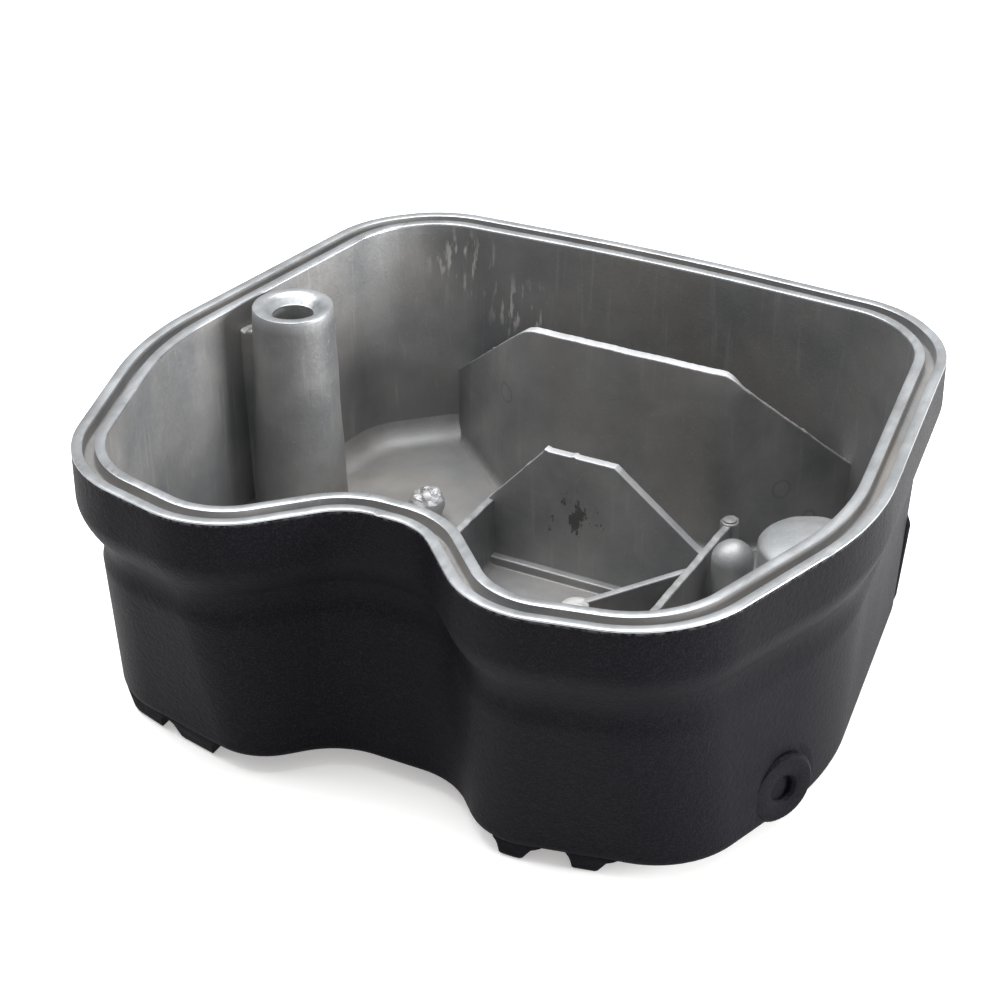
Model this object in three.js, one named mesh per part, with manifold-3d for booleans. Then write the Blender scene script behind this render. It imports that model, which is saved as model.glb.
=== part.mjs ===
// Die-cast housing tub with a machined sealing rim, a bolt pillar, inner baffles and underside fins.
// Millimetres, +Z up. The origin is on the ground under the middle of the tub; the back is at +Y.
import * as THREE from 'three';
import { mergeVertices } from 'three/addons/utils/BufferGeometryUtils.js';
import Module from 'manifold-3d';

const wasm = await Module();
wasm.setup();

// ---- Driving dimensions ---------------------------------------------------------------------

const CLEARANCE = 0.3; // gap kept between neighbouring sub-parts
const ARC_ROOM = 0.6; // most of a side's length that one corner's arc may use
const ARC_STEPS = 5; // straight steps in each rounded corner of the outline
const ROUND_SIDES = 32; // sides of a round boss
const SMALL_SIDES = 20; // sides of a small post

// Heights
const FIN_HEIGHT = 4.5; // fins stand this far below the pan
const PAN_THICKNESS = 7.0;
const INNER_DEPTH = 63.0; // from the sealing rim down to the inner floor

// Outline of the rim, half of it: [half width, place along Y, corner radius]
const BACK_EDGE_Y = 89.0;
const BACK_EDGE_BOW_RADIUS = 600;
const BACK_CORNER_INNER = [67.4, 85.6, 30];
const BACK_CORNER_OUTER = [84.7, 69.3, 30];
const KNEE = [98.1, -18.7, 78.9];
const FRONT_CORNER = [79.2, -80.9, 32.7];
const LOBE_TIP = [33.7, -90.9, 26];
const NOTCH_SHOULDER = [9.0, -66.2, 16.2];

// Rim band
const RIM_WIDTH = 8.0;
const LAND_WIDTH = 2.5;
const GROOVE_DEPTH = 3.5;
const GROOVE_TAPER = 0.1;
const BAND_HEIGHT = 21.5;
const BAND_STRAIGHT = 13.0; // height of the band before its lower edge rounds in
const SHOULDER_INSET = 4.5;

// Lower wall: how far each outer side has moved in by the time it reaches the ground plane
const BACK_INSET = 6.0;
const BACK_CORNER_INSET = 11.5;
const REAR_SIDE_INSET = 6.5;
const FRONT_SIDE_INSET = 4.6;
const LOBE_INSET = 12.0;
const FLANK_INSET = 6.5;
const NOTCH_INSET = 3.0;
const WALL_THICKNESS = 3.8;
const FLOOR_FILLET = 6.0;
const BASE_EDGE_RADIUS = 2.0;

// Bolt pillar
const PILLAR_Y = 12.2;
const PILLAR_WALL_OFFSET = 13.2; // from the band's inner face to the pillar's axis
const PILLAR_TOP_RADIUS = 10.4;
const PILLAR_BASE_RADIUS = 12.6;
const PILLAR_FOOT_RADIUS = 16.5;
const PILLAR_FOOT_HEIGHT = 6.0;
const PILLAR_RISE = 1.2; // above the rim
const BOLT_BORE_RADIUS = 5.25;
const SEAT_RADIUS = 7.6;
const SEAT_DEPTH = 2.2;
const WEB_DROP = 7.0;
const WEB_WIDTH = 9.0;
const WEB_HEIGHT = 30.0;

// Rear baffle
const REAR_BAFFLE_Y = 50.5;
const REAR_BAFFLE_THICKNESS = 3.0;
const REAR_BAFFLE_DROP = 11.0; // rim to its top edge
const REAR_BAFFLE_END_DROP = 43.5;
const REAR_BAFFLE_BEND_LEFT_X = -28.0;
const REAR_BAFFLE_BEND_RIGHT_X = 34.0;
const REAR_BAFFLE_END_X = 58.0;
const REAR_BAFFLE_END_Y = 77.5;
const REAR_BAFFLE_BEND_RADIUS = 8.0;
const REAR_BAFFLE_TOP_LEFT_X = -24.0;
const REAR_BAFFLE_TOP_RIGHT_X = 33.0;

// Front baffle and the ribs that run forward from it
const FRONT_BAFFLE_Y = 20.0;
const FRONT_BAFFLE_THICKNESS = 2.8;
const FRONT_BAFFLE_DROP = 26.7;
const FRONT_BAFFLE_TOP_LEFT_X = -3.0;
const FRONT_BAFFLE_TOP_RIGHT_X = 16.5;
const FOOT_STEP_HEIGHT = 2.2;
const FOOT_STEP_DEPTH = 2.4;
const RIB_DROP = 45.0;
const RIB_THICKNESS = 2.6;
const LEFT_RIB_X = -18.6;
const RIGHT_RIB_X = 41.0;
const RIGHT_RIB_BACK_Y = 36.5;
const RIB_POST_RADIUS = 2.4;
const RIB_POST_RISE = 1.0;
const DIAGONAL_RIB_DROP = 46.5;
const DIAGONAL_RIB_START = [39.4, 12.5];
const DIAGONAL_RIB_END = [24.0, -10.5];
const PAD_POST_RADIUS = 3.5;
const LOBE_POST_AT = [38.0, -17.0];
const LOBE_POST_RADIUS = 2.9;
const LOBE_POST_DROP = 44.0;

// Bosses
const BALL_BOSS_AT = [48.6, 20.5];
const BALL_BOSS_RADIUS = 5.4;
const BALL_BOSS_DROP = 40.0;
const DOMED_BOSS_RADIUS = 13.5;
const DOMED_BOSS_DROP = 26.0;
const DOMED_BOSS_CROWN = 4.0;

// Casting stubs left on the floor and on the left rib
const GATE_STUB_AT = [-43.5, 29.0];
const GATE_STUB_SIZE = [8.0, 6.5, 6.0];
const RIB_STUB_Y = -4.0;
const RIB_STUB_SIZE = [3.4, 5.0, 2.2];
const COARSE_SWELL = 0.12; // share by which a stub swells and shrinks sideways
const FINE_SWELL = 0.1; // the same, upwards

// Side port
const PORT_ALONG_Y = -40.5;
const PORT_DROP = 61.1;
const PORT_BOSS_RADIUS = 9.0;
const PORT_BOSS_LENGTH = 10.5;
const PORT_BOSS_PROUD = 1.4;
const PORT_BOSS_CHAMFER = 0.8;
const PORT_BORE_RADIUS = 3.1;
const PORT_BORE_DEPTH = 8.5;
const PORT_BORE_CHAMFER = 0.7;

// Underside fins
const FIN_COUNT = 8;
const FIN_PITCH = 17.05;
const FIRST_FIN_X = 53.4;
const FIN_TIP_WIDTH = 4.6;
const WIDE_FIN_TIP_WIDTH = 9.0; // the two fins under the left-hand lobe
const WIDE_FIN_COUNT = 2;
const FIN_INNER_DRAFT = 0.5; // how far the side facing the middle leans out from tip to root
const FIN_OUTER_DRAFT = 4.0; // the same for the side facing away from the middle
const FIN_EDGE_SETBACK = 0.4; // from the wall's outer face to the fins' ends
const NOTCH_FINS = [2, 3, 4, 5]; // fins that stop behind the notch
const NOTCH_FIN_FRONT_Y = -46.0;

// Lug on the back right-hand corner: its outer face leans in less than the wall does
const LUG_Y = 62.0;
const LUG_PROUD = 0.62; // of its face's top, beyond the wall along X
const LUG_TURN = 27.8; // degrees, direction that it faces, from +X towards +Y
const LUG_WIDTH = 12.0;
const LUG_DEPTH = 6.0;
const LUG_EXTRA_LEAN = -0.67; // of its outer face from top to bottom, besides the wall's own
const LUG_TOP_DROP = 44.0;
const LUG_BOTTOM_Z = 5.5; // above the ground
const LUG_CHAMFER = 1.2;
const BOLT_SPOT_RADIUS = 6.2; // scallop in the fin beside the bolt hole

// ---- Derived heights ------------------------------------------------------------------------

const PAN_BOTTOM_Z = FIN_HEIGHT;
const FLOOR_Z = PAN_BOTTOM_Z + PAN_THICKNESS;
const RIM_Z = FLOOR_Z + INNER_DEPTH;
const BAND_BOTTOM_Z = RIM_Z - BAND_HEIGHT;
const PAN_EDGE_Z = FLOOR_Z + FLOOR_FILLET;
const RIB_TOP_Z = RIM_Z - RIB_DROP;

// ---- Materials ------------------------------------------------------------------------------

const coated = () => new THREE.MeshStandardMaterial({ color: 0x1d1d22, roughness: 0.55, metalness: 0.2 });
const rawCasting = () =>
  new THREE.MeshStandardMaterial({ color: 0x77777a, roughness: 0.5, metalness: 0.8 });
const machined = () => new THREE.MeshStandardMaterial({ color: 0xd9dde0, roughness: 0.3, metalness: 0.9 });

// ---- Joining and cutting --------------------------------------------------------------------

function toSolid(geometry) {
  const bare = geometry.clone();
  bare.deleteAttribute('normal');
  bare.deleteAttribute('uv');
  const merged = mergeVertices(bare, 1e-4);
  return new wasm.Manifold(new wasm.Mesh({
    numProp: 3,
    vertProperties: Float32Array.from(merged.attributes.position.array),
    triVerts: Uint32Array.from(merged.index.array),
  }));
}

function toGeometry(solid) {
  const mesh = solid.getMesh();
  const geometry = new THREE.BufferGeometry();
  geometry.setAttribute('position', new THREE.BufferAttribute(Float32Array.from(mesh.vertProperties), 3));
  geometry.setIndex(new THREE.BufferAttribute(Uint32Array.from(mesh.triVerts), 1));
  return geometry;
}

// ---- Outlines -------------------------------------------------------------------------------

// Corners run anticlockwise seen from above, starting at the middle of the back edge.
function rimCorners() {
  const half = [NOTCH_SHOULDER, LOBE_TIP, FRONT_CORNER, KNEE, BACK_CORNER_OUTER, BACK_CORNER_INNER];
  const left = half.slice().reverse().map(([x, y, radius]) => [-x, y, radius]);
  return [[0, BACK_EDGE_Y, BACK_EDGE_BOW_RADIUS], ...left, ...half];
}

// One inset for each side of the outline, in the order of its corners.
function everySide(inset) {
  return new Array(rimCorners().length).fill(inset);
}

function baseInsets() {
  const left = [BACK_INSET, BACK_CORNER_INSET, REAR_SIDE_INSET, FRONT_SIDE_INSET, LOBE_INSET, FLANK_INSET];
  return [...left, NOTCH_INSET, ...left.slice().reverse()];
}

function mixInsets(from, to, share) {
  return from.map((value, side) => value + (to[side] - value) * share);
}

function addInset(insets, extra) {
  return insets.map((value) => value + extra);
}

// Insets of the outer wall face at a height: the shoulder's inset grows to the base's.
function outerWallInsets(z) {
  const share = (BAND_BOTTOM_Z - z) / (BAND_BOTTOM_Z - PAN_BOTTOM_Z);
  return mixInsets(everySide(SHOULDER_INSET), baseInsets(), share);
}

function innerWallInsets(z) {
  return addInset(outerWallInsets(z), WALL_THICKNESS);
}

// Move each side of the outline inwards by its inset and carry the corner radii along.
function insetCorners(insets) {
  const corners = rimCorners();
  const count = corners.length;
  const sides = corners.map(([x, y], index) => {
    const [nextX, nextY] = corners[(index + 1) % count];
    const direction = new THREE.Vector2(nextX - x, nextY - y).normalize();
    const normal = new THREE.Vector2(-direction.y, direction.x);
    return { point: new THREE.Vector2(x, y).addScaledVector(normal, insets[index]), direction };
  });
  return corners.map(([, , radius], index) => {
    const before = sides[(index + count - 1) % count];
    const after = sides[index];
    const turn = before.direction.cross(after.direction);
    const reach = after.point.clone().sub(before.point).cross(after.direction) / turn;
    const corner = before.point.clone().addScaledVector(before.direction, reach);
    const inset = (insets[(index + count - 1) % count] + insets[index]) / 2;
    return [corner.x, corner.y, turn > 0 ? radius - inset : radius + inset];
  });
}

// Replace every corner by an arc of ARC_STEPS steps that meets both sides.
function roundCorners(corners, steps = ARC_STEPS) {
  const count = corners.length;
  return corners.flatMap(([x, y, wantedRadius], index) => {
    const corner = new THREE.Vector2(x, y);
    const [beforeX, beforeY] = corners[(index + count - 1) % count];
    const [afterX, afterY] = corners[(index + 1) % count];
    const toBefore = new THREE.Vector2(beforeX - x, beforeY - y).normalize();
    const toAfter = new THREE.Vector2(afterX - x, afterY - y).normalize();
    const halfAngle = Math.acos(THREE.MathUtils.clamp(toBefore.dot(toAfter), -1, 1)) / 2;
    const shorter = Math.min(Math.hypot(beforeX - x, beforeY - y), Math.hypot(afterX - x, afterY - y));
    const room = shorter * ARC_ROOM;
    const radius = Math.min(wantedRadius, room * Math.tan(halfAngle));
    const reach = radius / Math.sin(halfAngle);
    const centre = toBefore.clone().add(toAfter).normalize().multiplyScalar(reach).add(corner);
    const start = corner.clone().addScaledVector(toBefore, radius / Math.tan(halfAngle)).sub(centre);
    const sweep = (Math.PI - 2 * halfAngle) * Math.sign(toAfter.cross(toBefore));
    return Array.from({ length: steps + 1 }, (_, step) => {
      return start.clone().rotateAround(new THREE.Vector2(), (sweep * step) / steps).add(centre);
    });
  });
}

function outlineAt(insets) {
  return roundCorners(insetCorners(insets));
}

function ringAt(insets, z) {
  return outlineAt(insets).map((point) => new THREE.Vector3(point.x, point.y, z));
}

// X of the outline's right-hand side at a given Y.
function outlineReach(insets, y) {
  const points = outlineAt(insets);
  const crossings = points.map((point, index) => {
    const next = points[(index + 1) % points.length];
    const crosses = (point.y - y) * (next.y - y) < 0;
    return crosses ? point.x + ((next.x - point.x) * (y - point.y)) / (next.y - point.y) : -Infinity;
  });
  return Math.max(...crossings);
}

// ---- Lofts and extrusions -------------------------------------------------------------------

function stripIndices(ringCount, size, closed) {
  const indices = [];
  const strips = closed ? ringCount : ringCount - 1;
  for (let ring = 0; ring < strips; ring += 1) {
    const upper = ((ring + 1) % ringCount) * size;
    for (let step = 0; step < size; step += 1) {
      const next = (step + 1) % size;
      indices.push(ring * size + step, ring * size + next, upper + next);
      indices.push(ring * size + step, upper + next, upper + step);
    }
  }
  return indices;
}

function ringGeometry(rings, indices) {
  const geometry = new THREE.BufferGeometry().setFromPoints(rings.flat());
  geometry.setIndex(indices);
  return geometry;
}

// A closed band: rings in order around its section, outside upwards first.
function loftBand(rings) {
  return ringGeometry(rings, stripIndices(rings.length, rings[0].length, true));
}

// A solid: rings in order from the middle of its underside, up the outside, to the middle of its top.
function loftSolid(rings) {
  const size = rings[0].length;
  const indices = stripIndices(rings.length, size, false);
  const flatten = (ring) => ring.map((point) => new THREE.Vector2(point.x, point.y));
  const cap = (ring) => THREE.ShapeUtils.triangulateShape(flatten(ring), []);
  cap(rings[0]).forEach(([a, b, c]) => indices.push(c, b, a));
  const top = (rings.length - 1) * size;
  cap(rings[rings.length - 1]).forEach(([a, b, c]) => indices.push(top + a, top + b, top + c));
  return ringGeometry(rings, indices);
}

function extrudeUp(points, bottom, top) {
  const options = { depth: top - bottom, bevelEnabled: false };
  const geometry = new THREE.ExtrudeGeometry(new THREE.Shape(points), options);
  return geometry.translate(0, 0, bottom);
}

// Extrude an outline given in X and Z along Y.
function extrudeAlongY(points, from, to) {
  const options = { depth: to - from, bevelEnabled: false };
  const geometry = new THREE.ExtrudeGeometry(new THREE.Shape(points), options);
  return geometry.rotateX(Math.PI / 2).translate(0, to, 0);
}

function latheAt(profile, x, y, sides = ROUND_SIDES) {
  const geometry = new THREE.LatheGeometry(profile, sides);
  return geometry.rotateX(Math.PI / 2).translate(x, y, 0);
}

function vec(x, y) {
  return new THREE.Vector2(x, y);
}

// Points of a quarter round from one end to the other, both ends included.
function quarterRound(steps, place) {
  return Array.from({ length: steps + 1 }, (_, step) => {
    const angle = (Math.PI / 2) * (step / steps);
    return place(Math.sin(angle), Math.cos(angle));
  });
}

// Two parallel lines either side of a path, with its bends rounded.
function thickPath(path, thickness, bendRadius) {
  const side = (offset) => {
    const curve = new THREE.CurvePath();
    let from = path[0].clone();
    for (let index = 1; index < path.length - 1; index += 1) {
      const before = path[index - 1].clone().sub(path[index]).normalize();
      const after = path[index + 1].clone().sub(path[index]).normalize();
      const enter = path[index].clone().addScaledVector(before, bendRadius);
      const leave = path[index].clone().addScaledVector(after, bendRadius);
      curve.add(new THREE.LineCurve(from, enter));
      curve.add(new THREE.QuadraticBezierCurve(enter, path[index].clone(), leave));
      from = leave;
    }
    curve.add(new THREE.LineCurve(from, path[path.length - 1].clone()));
    const points = curve.curves.flatMap((piece, index) => {
      const steps = piece instanceof THREE.LineCurve ? 1 : 6;
      const own = Array.from({ length: steps + 1 }, (_, step) => ({
        at: piece.getPoint(step / steps),
        along: piece.getTangent(step / steps),
      }));
      return index === 0 ? own : own.slice(1);
    });
    return points.map(({ at, along }) => vec(at.x - along.y * offset, at.y + along.x * offset));
  };
  return [...side(-thickness / 2), ...side(thickness / 2).reverse()];
}

// ---- The space inside the tub, kept one clearance away from its walls and floor ----------------

function innerSpace() {
  const fillet = quarterRound(3, (across, up) => {
    const z = FLOOR_Z + FLOOR_FILLET * (1 - across) + CLEARANCE;
    return ringAt(addInset(innerWallInsets(z), FLOOR_FILLET * (1 - up) + CLEARANCE), z);
  });
  const bandInside = SHOULDER_INSET + WALL_THICKNESS + CLEARANCE;
  const rings = [
    ...fillet.reverse(),
    ringAt(everySide(bandInside), BAND_BOTTOM_Z),
    ringAt(everySide(RIM_WIDTH + CLEARANCE), RIM_Z + PILLAR_RISE + CLEARANCE),
  ];
  return toSolid(loftSolid(rings));
}

const space = innerSpace();

function insideTub(geometry) {
  return toSolid(geometry).intersect(space);
}

// ---- Shell ----------------------------------------------------------------------------------

// The sealing rim: two machined lands with a gasket groove between them, over a band whose lower
// edge rounds in to the shoulder.
function rimFlange() {
  const roundSteps = 4;
  const outside = Array.from({ length: roundSteps + 1 }, (_, step) => {
    const drop = 1 - step / roundSteps;
    const z = BAND_BOTTOM_Z + (BAND_HEIGHT - BAND_STRAIGHT) * (1 - drop);
    return [SHOULDER_INSET * drop * drop, z];
  });
  const section = [
    ...outside,
    [0, RIM_Z],
    [LAND_WIDTH, RIM_Z],
    [LAND_WIDTH + GROOVE_TAPER, RIM_Z - GROOVE_DEPTH],
    [RIM_WIDTH - LAND_WIDTH - GROOVE_TAPER, RIM_Z - GROOVE_DEPTH],
    [RIM_WIDTH - LAND_WIDTH, RIM_Z],
    [RIM_WIDTH, RIM_Z],
    [SHOULDER_INSET + WALL_THICKNESS, BAND_BOTTOM_Z],
  ];
  return toSolid(loftBand(section.map(([inset, z]) => ringAt(everySide(inset), z))));
}

function sideWall() {
  const top = BAND_BOTTOM_Z - CLEARANCE;
  const bottom = PAN_EDGE_Z + CLEARANCE;
  return toSolid(loftBand([
    ringAt(outerWallInsets(bottom), bottom),
    ringAt(outerWallInsets(top), top),
    ringAt(innerWallInsets(top), top),
    ringAt(innerWallInsets(bottom), bottom),
  ]));
}

// The floor with its rounded outer edge and the fillet that turns up into the wall.
function floorPan() {
  const edge = quarterRound(3, (across, up) => {
    const z = PAN_BOTTOM_Z + BASE_EDGE_RADIUS * (1 - up);
    return ringAt(addInset(outerWallInsets(z), BASE_EDGE_RADIUS * (1 - across)), z);
  });
  const fillet = quarterRound(3, (across, up) => {
    const z = FLOOR_Z + FLOOR_FILLET * (1 - across);
    return ringAt(addInset(innerWallInsets(z), FLOOR_FILLET * (1 - up)), z);
  });
  const outerTop = ringAt(outerWallInsets(PAN_EDGE_Z), PAN_EDGE_Z);
  return toSolid(loftSolid([...edge, outerTop, ...fillet]));
}

// ---- Bolt pillar ----------------------------------------------------------------------------

const PILLAR_X = -(outlineReach(everySide(RIM_WIDTH), PILLAR_Y) - PILLAR_WALL_OFFSET);

function pillarPlace(profile) {
  return toSolid(latheAt(profile, PILLAR_X, PILLAR_Y));
}

function upright(radius, bottom, top, x, y, sides = ROUND_SIDES) {
  const profile = [vec(0, bottom), vec(radius, bottom), vec(radius, top), vec(0, top)];
  return toSolid(latheAt(profile, x, y, sides));
}

// Tapered post with a filleted foot, a bore right through and a coned seat at the top.
function boltPillar() {
  const foot = FLOOR_Z + CLEARANCE;
  const top = RIM_Z + PILLAR_RISE;
  const flare = quarterRound(4, (across, up) => {
    const radius = PILLAR_FOOT_RADIUS - (PILLAR_FOOT_RADIUS - PILLAR_BASE_RADIUS) * across;
    return vec(radius, foot + PILLAR_FOOT_HEIGHT * (1 - up));
  });
  const body = insideTub(latheAt([
    vec(0, foot), ...flare, vec(PILLAR_TOP_RADIUS, top), vec(0, top),
  ], PILLAR_X, PILLAR_Y));
  const bore = pillarPlace([
    vec(0, foot - 1), vec(BOLT_BORE_RADIUS, foot - 1), vec(BOLT_BORE_RADIUS, top - SEAT_DEPTH),
    vec(SEAT_RADIUS, top), vec(SEAT_RADIUS, top + 1), vec(0, top + 1),
  ]);
  return body.subtract(bore);
}

// Low web that ties the pillar to the side wall beside it.
function pillarWeb() {
  const top = RIM_Z - WEB_DROP;
  const block = new THREE.BoxGeometry(2 * PILLAR_WALL_OFFSET, WEB_WIDTH, WEB_HEIGHT);
  block.translate(PILLAR_X - PILLAR_WALL_OFFSET, PILLAR_Y, top - WEB_HEIGHT / 2);
  const around = pillarPlace([
    vec(0, 0),
    vec(PILLAR_FOOT_RADIUS + CLEARANCE, 0),
    vec(PILLAR_BASE_RADIUS + CLEARANCE, FLOOR_Z + PILLAR_FOOT_HEIGHT),
    vec(PILLAR_TOP_RADIUS + CLEARANCE, RIM_Z + PILLAR_RISE), vec(0, RIM_Z + PILLAR_RISE),
  ]);
  return insideTub(block).subtract(around);
}

// ---- Baffles and ribs -----------------------------------------------------------------------

const INSIDE_FLOOR = FLOOR_Z + CLEARANCE;

// Upright partition that closes off a pocket against the back wall; its top falls away at both ends.
function rearBaffle() {
  const endY = BACK_EDGE_Y;
  const path = [
    vec(REAR_BAFFLE_END_X + (endY - REAR_BAFFLE_END_Y), endY),
    vec(REAR_BAFFLE_BEND_RIGHT_X, REAR_BAFFLE_Y),
    vec(REAR_BAFFLE_BEND_LEFT_X, REAR_BAFFLE_Y),
    vec(-REAR_BAFFLE_END_X - (endY - REAR_BAFFLE_END_Y), endY),
  ];
  const plan = thickPath(path, REAR_BAFFLE_THICKNESS, REAR_BAFFLE_BEND_RADIUS);
  const wall = extrudeUp(plan, INSIDE_FLOOR - 1, RIM_Z);
  const endZ = RIM_Z - REAR_BAFFLE_END_DROP;
  const topZ = RIM_Z - REAR_BAFFLE_DROP;
  const farX = REAR_BAFFLE_END_X + (endY - REAR_BAFFLE_END_Y) + REAR_BAFFLE_THICKNESS;
  const face = extrudeAlongY([
    vec(-farX, 0), vec(farX, 0), vec(farX, endZ), vec(REAR_BAFFLE_END_X, endZ),
    vec(REAR_BAFFLE_TOP_RIGHT_X, topZ), vec(REAR_BAFFLE_TOP_LEFT_X, topZ),
    vec(-REAR_BAFFLE_END_X, endZ), vec(-farX, endZ),
  ], 0, 2 * BACK_EDGE_Y);
  return insideTub(wall).intersect(toSolid(face));
}

// Trapezoid partition between the two ribs that run forward to the lobes.
function frontBaffle() {
  const left = LEFT_RIB_X + RIB_THICKNESS / 2 + CLEARANCE;
  const right = RIGHT_RIB_X - RIB_THICKNESS / 2 - CLEARANCE;
  const topZ = RIM_Z - FRONT_BAFFLE_DROP;
  const face = [
    vec(left, INSIDE_FLOOR), vec(right, INSIDE_FLOOR), vec(right, RIB_TOP_Z),
    vec(FRONT_BAFFLE_TOP_RIGHT_X, topZ), vec(FRONT_BAFFLE_TOP_LEFT_X, topZ), vec(left, RIB_TOP_Z),
  ];
  const half = FRONT_BAFFLE_THICKNESS / 2;
  return insideTub(extrudeAlongY(face, FRONT_BAFFLE_Y - half, FRONT_BAFFLE_Y + half));
}

// Low step along the front baffle's foot.
function baffleStep() {
  const left = LEFT_RIB_X + RIB_THICKNESS / 2 + CLEARANCE;
  const right = RIGHT_RIB_X - RIB_THICKNESS / 2 - CLEARANCE;
  const back = FRONT_BAFFLE_Y - FRONT_BAFFLE_THICKNESS / 2 - CLEARANCE;
  const block = new THREE.BoxGeometry(right - left, FOOT_STEP_DEPTH, FOOT_STEP_HEIGHT);
  block.translate((left + right) / 2, back - FOOT_STEP_DEPTH / 2, INSIDE_FLOOR + FOOT_STEP_HEIGHT / 2);
  return toSolid(block);
}

function uprightPlate(from, to, thickness, top) {
  const along = to.clone().sub(from).normalize();
  const side = vec(-along.y, along.x).multiplyScalar(thickness / 2);
  const outline = [
    from.clone().sub(side), to.clone().sub(side), to.clone().add(side), from.clone().add(side),
  ];
  return extrudeUp(outline, INSIDE_FLOOR, top);
}

function forwardRib(x, backY) {
  return insideTub(uprightPlate(vec(x, backY), vec(x, LOBE_TIP[1]), RIB_THICKNESS, RIB_TOP_Z));
}

function leftRib() {
  return forwardRib(LEFT_RIB_X, FRONT_BAFFLE_Y + FRONT_BAFFLE_THICKNESS / 2);
}

function rightRib() {
  const backY = RIGHT_RIB_BACK_Y - RIB_POST_RADIUS - CLEARANCE;
  return forwardRib(RIGHT_RIB_X, backY);
}

// Round post that ends the right-hand rib.
function ribPost() {
  const top = RIB_TOP_Z + RIB_POST_RISE;
  return upright(RIB_POST_RADIUS, INSIDE_FLOOR, top, RIGHT_RIB_X, RIGHT_RIB_BACK_Y, SMALL_SIDES);
}

const diagonalStart = vec(...DIAGONAL_RIB_START);
const diagonalEnd = vec(...DIAGONAL_RIB_END);
const padPostAt = diagonalEnd.clone().addScaledVector(
  diagonalEnd.clone().sub(diagonalStart).normalize(), PAD_POST_RADIUS + CLEARANCE);

// The right-hand rib with its clearance, for the pieces that run up to it.
function besideRightRib(solid) {
  const slab = new THREE.BoxGeometry(RIB_THICKNESS + 2 * CLEARANCE, 2 * BACK_EDGE_Y, 2 * RIM_Z);
  return solid.subtract(toSolid(slab.translate(RIGHT_RIB_X, 0, 0)));
}

function diagonalRib() {
  const plate = uprightPlate(diagonalStart, diagonalEnd, RIB_THICKNESS, RIM_Z - DIAGONAL_RIB_DROP);
  return besideRightRib(insideTub(plate));
}

function padPost() {
  const top = RIM_Z - DIAGONAL_RIB_DROP;
  return upright(PAD_POST_RADIUS, INSIDE_FLOOR, top, padPostAt.x, padPostAt.y, SMALL_SIDES);
}

function lobePost() {
  const [x, y] = LOBE_POST_AT;
  return besideRightRib(upright(LOBE_POST_RADIUS, INSIDE_FLOOR, RIM_Z - LOBE_POST_DROP, x, y, SMALL_SIDES));
}

// ---- Bosses ---------------------------------------------------------------------------------

function domedPost(radius, crown, drop, x, y) {
  const top = RIM_Z - drop;
  const dome = quarterRound(6, (across, up) => vec(radius * up, top - crown + crown * across));
  return insideTub(latheAt([vec(0, INSIDE_FLOOR), vec(radius, INSIDE_FLOOR), ...dome], x, y, 28));
}

function ballBoss() {
  return domedPost(BALL_BOSS_RADIUS, BALL_BOSS_RADIUS, BALL_BOSS_DROP, ...BALL_BOSS_AT);
}

// Broad domed boss against the right-hand wall, opposite the bolt pillar.
function domedBoss() {
  return domedPost(DOMED_BOSS_RADIUS, DOMED_BOSS_CROWN, DOMED_BOSS_DROP, -PILLAR_X, PILLAR_Y);
}

// ---- Casting stubs --------------------------------------------------------------------------

// A broken-off lump: a coarse ball pushed in and out by a slow wave, flat underneath.
function roughLump([length, width, height], x, y, z) {
  const ball = new THREE.IcosahedronGeometry(1, 2);
  ball.deleteAttribute('normal');
  ball.deleteAttribute('uv');
  const lump = mergeVertices(ball, 1e-4);
  const place = lump.attributes.position;
  for (let index = 0; index < place.count; index += 1) {
    const point = new THREE.Vector3().fromBufferAttribute(place, index);
    const across = COARSE_SWELL * Math.sin(4.1 * point.x + 2 * point.y);
    const along = FINE_SWELL * Math.cos(5.3 * point.z - 3 * point.x);
    const swell = 1 + across + along;
    point.multiplyScalar(swell);
    place.setXYZ(index, (point.x * length) / 2, (point.y * width) / 2, point.z * height);
  }
  lump.translate(x, y, z);
  const keep = new THREE.BoxGeometry(3 * length, 3 * width, 3 * height).translate(x, y, z + 1.5 * height);
  return toSolid(lump).intersect(toSolid(keep));
}

function gateStub() {
  return roughLump(GATE_STUB_SIZE, ...GATE_STUB_AT, INSIDE_FLOOR);
}

function ribStub() {
  return roughLump(RIB_STUB_SIZE, LEFT_RIB_X, RIB_STUB_Y, RIB_TOP_Z + CLEARANCE);
}

// ---- Side port ------------------------------------------------------------------------------

const PORT_Z = RIM_Z - PORT_DROP;

function portFrame() {
  const side = vec(KNEE[0] - FRONT_CORNER[0], KNEE[1] - FRONT_CORNER[1]).normalize();
  const outward = vec(side.y, -side.x);
  const x = outlineReach(outerWallInsets(PORT_Z), PORT_ALONG_Y);
  return { x, turn: Math.atan2(outward.y, outward.x) };
}

// Lay a profile given as [radius, distance outwards from the wall face] along the port's axis.
function portLathe(profile) {
  const { x, turn } = portFrame();
  const geometry = new THREE.LatheGeometry(profile, ROUND_SIDES);
  geometry.rotateZ(-Math.PI / 2);
  return toSolid(geometry.rotateZ(turn).translate(x, PORT_ALONG_Y, PORT_Z));
}

function portCylinder(radius, from, to) {
  return portLathe([vec(0, from), vec(radius, from), vec(radius, to), vec(0, to)]);
}

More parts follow.
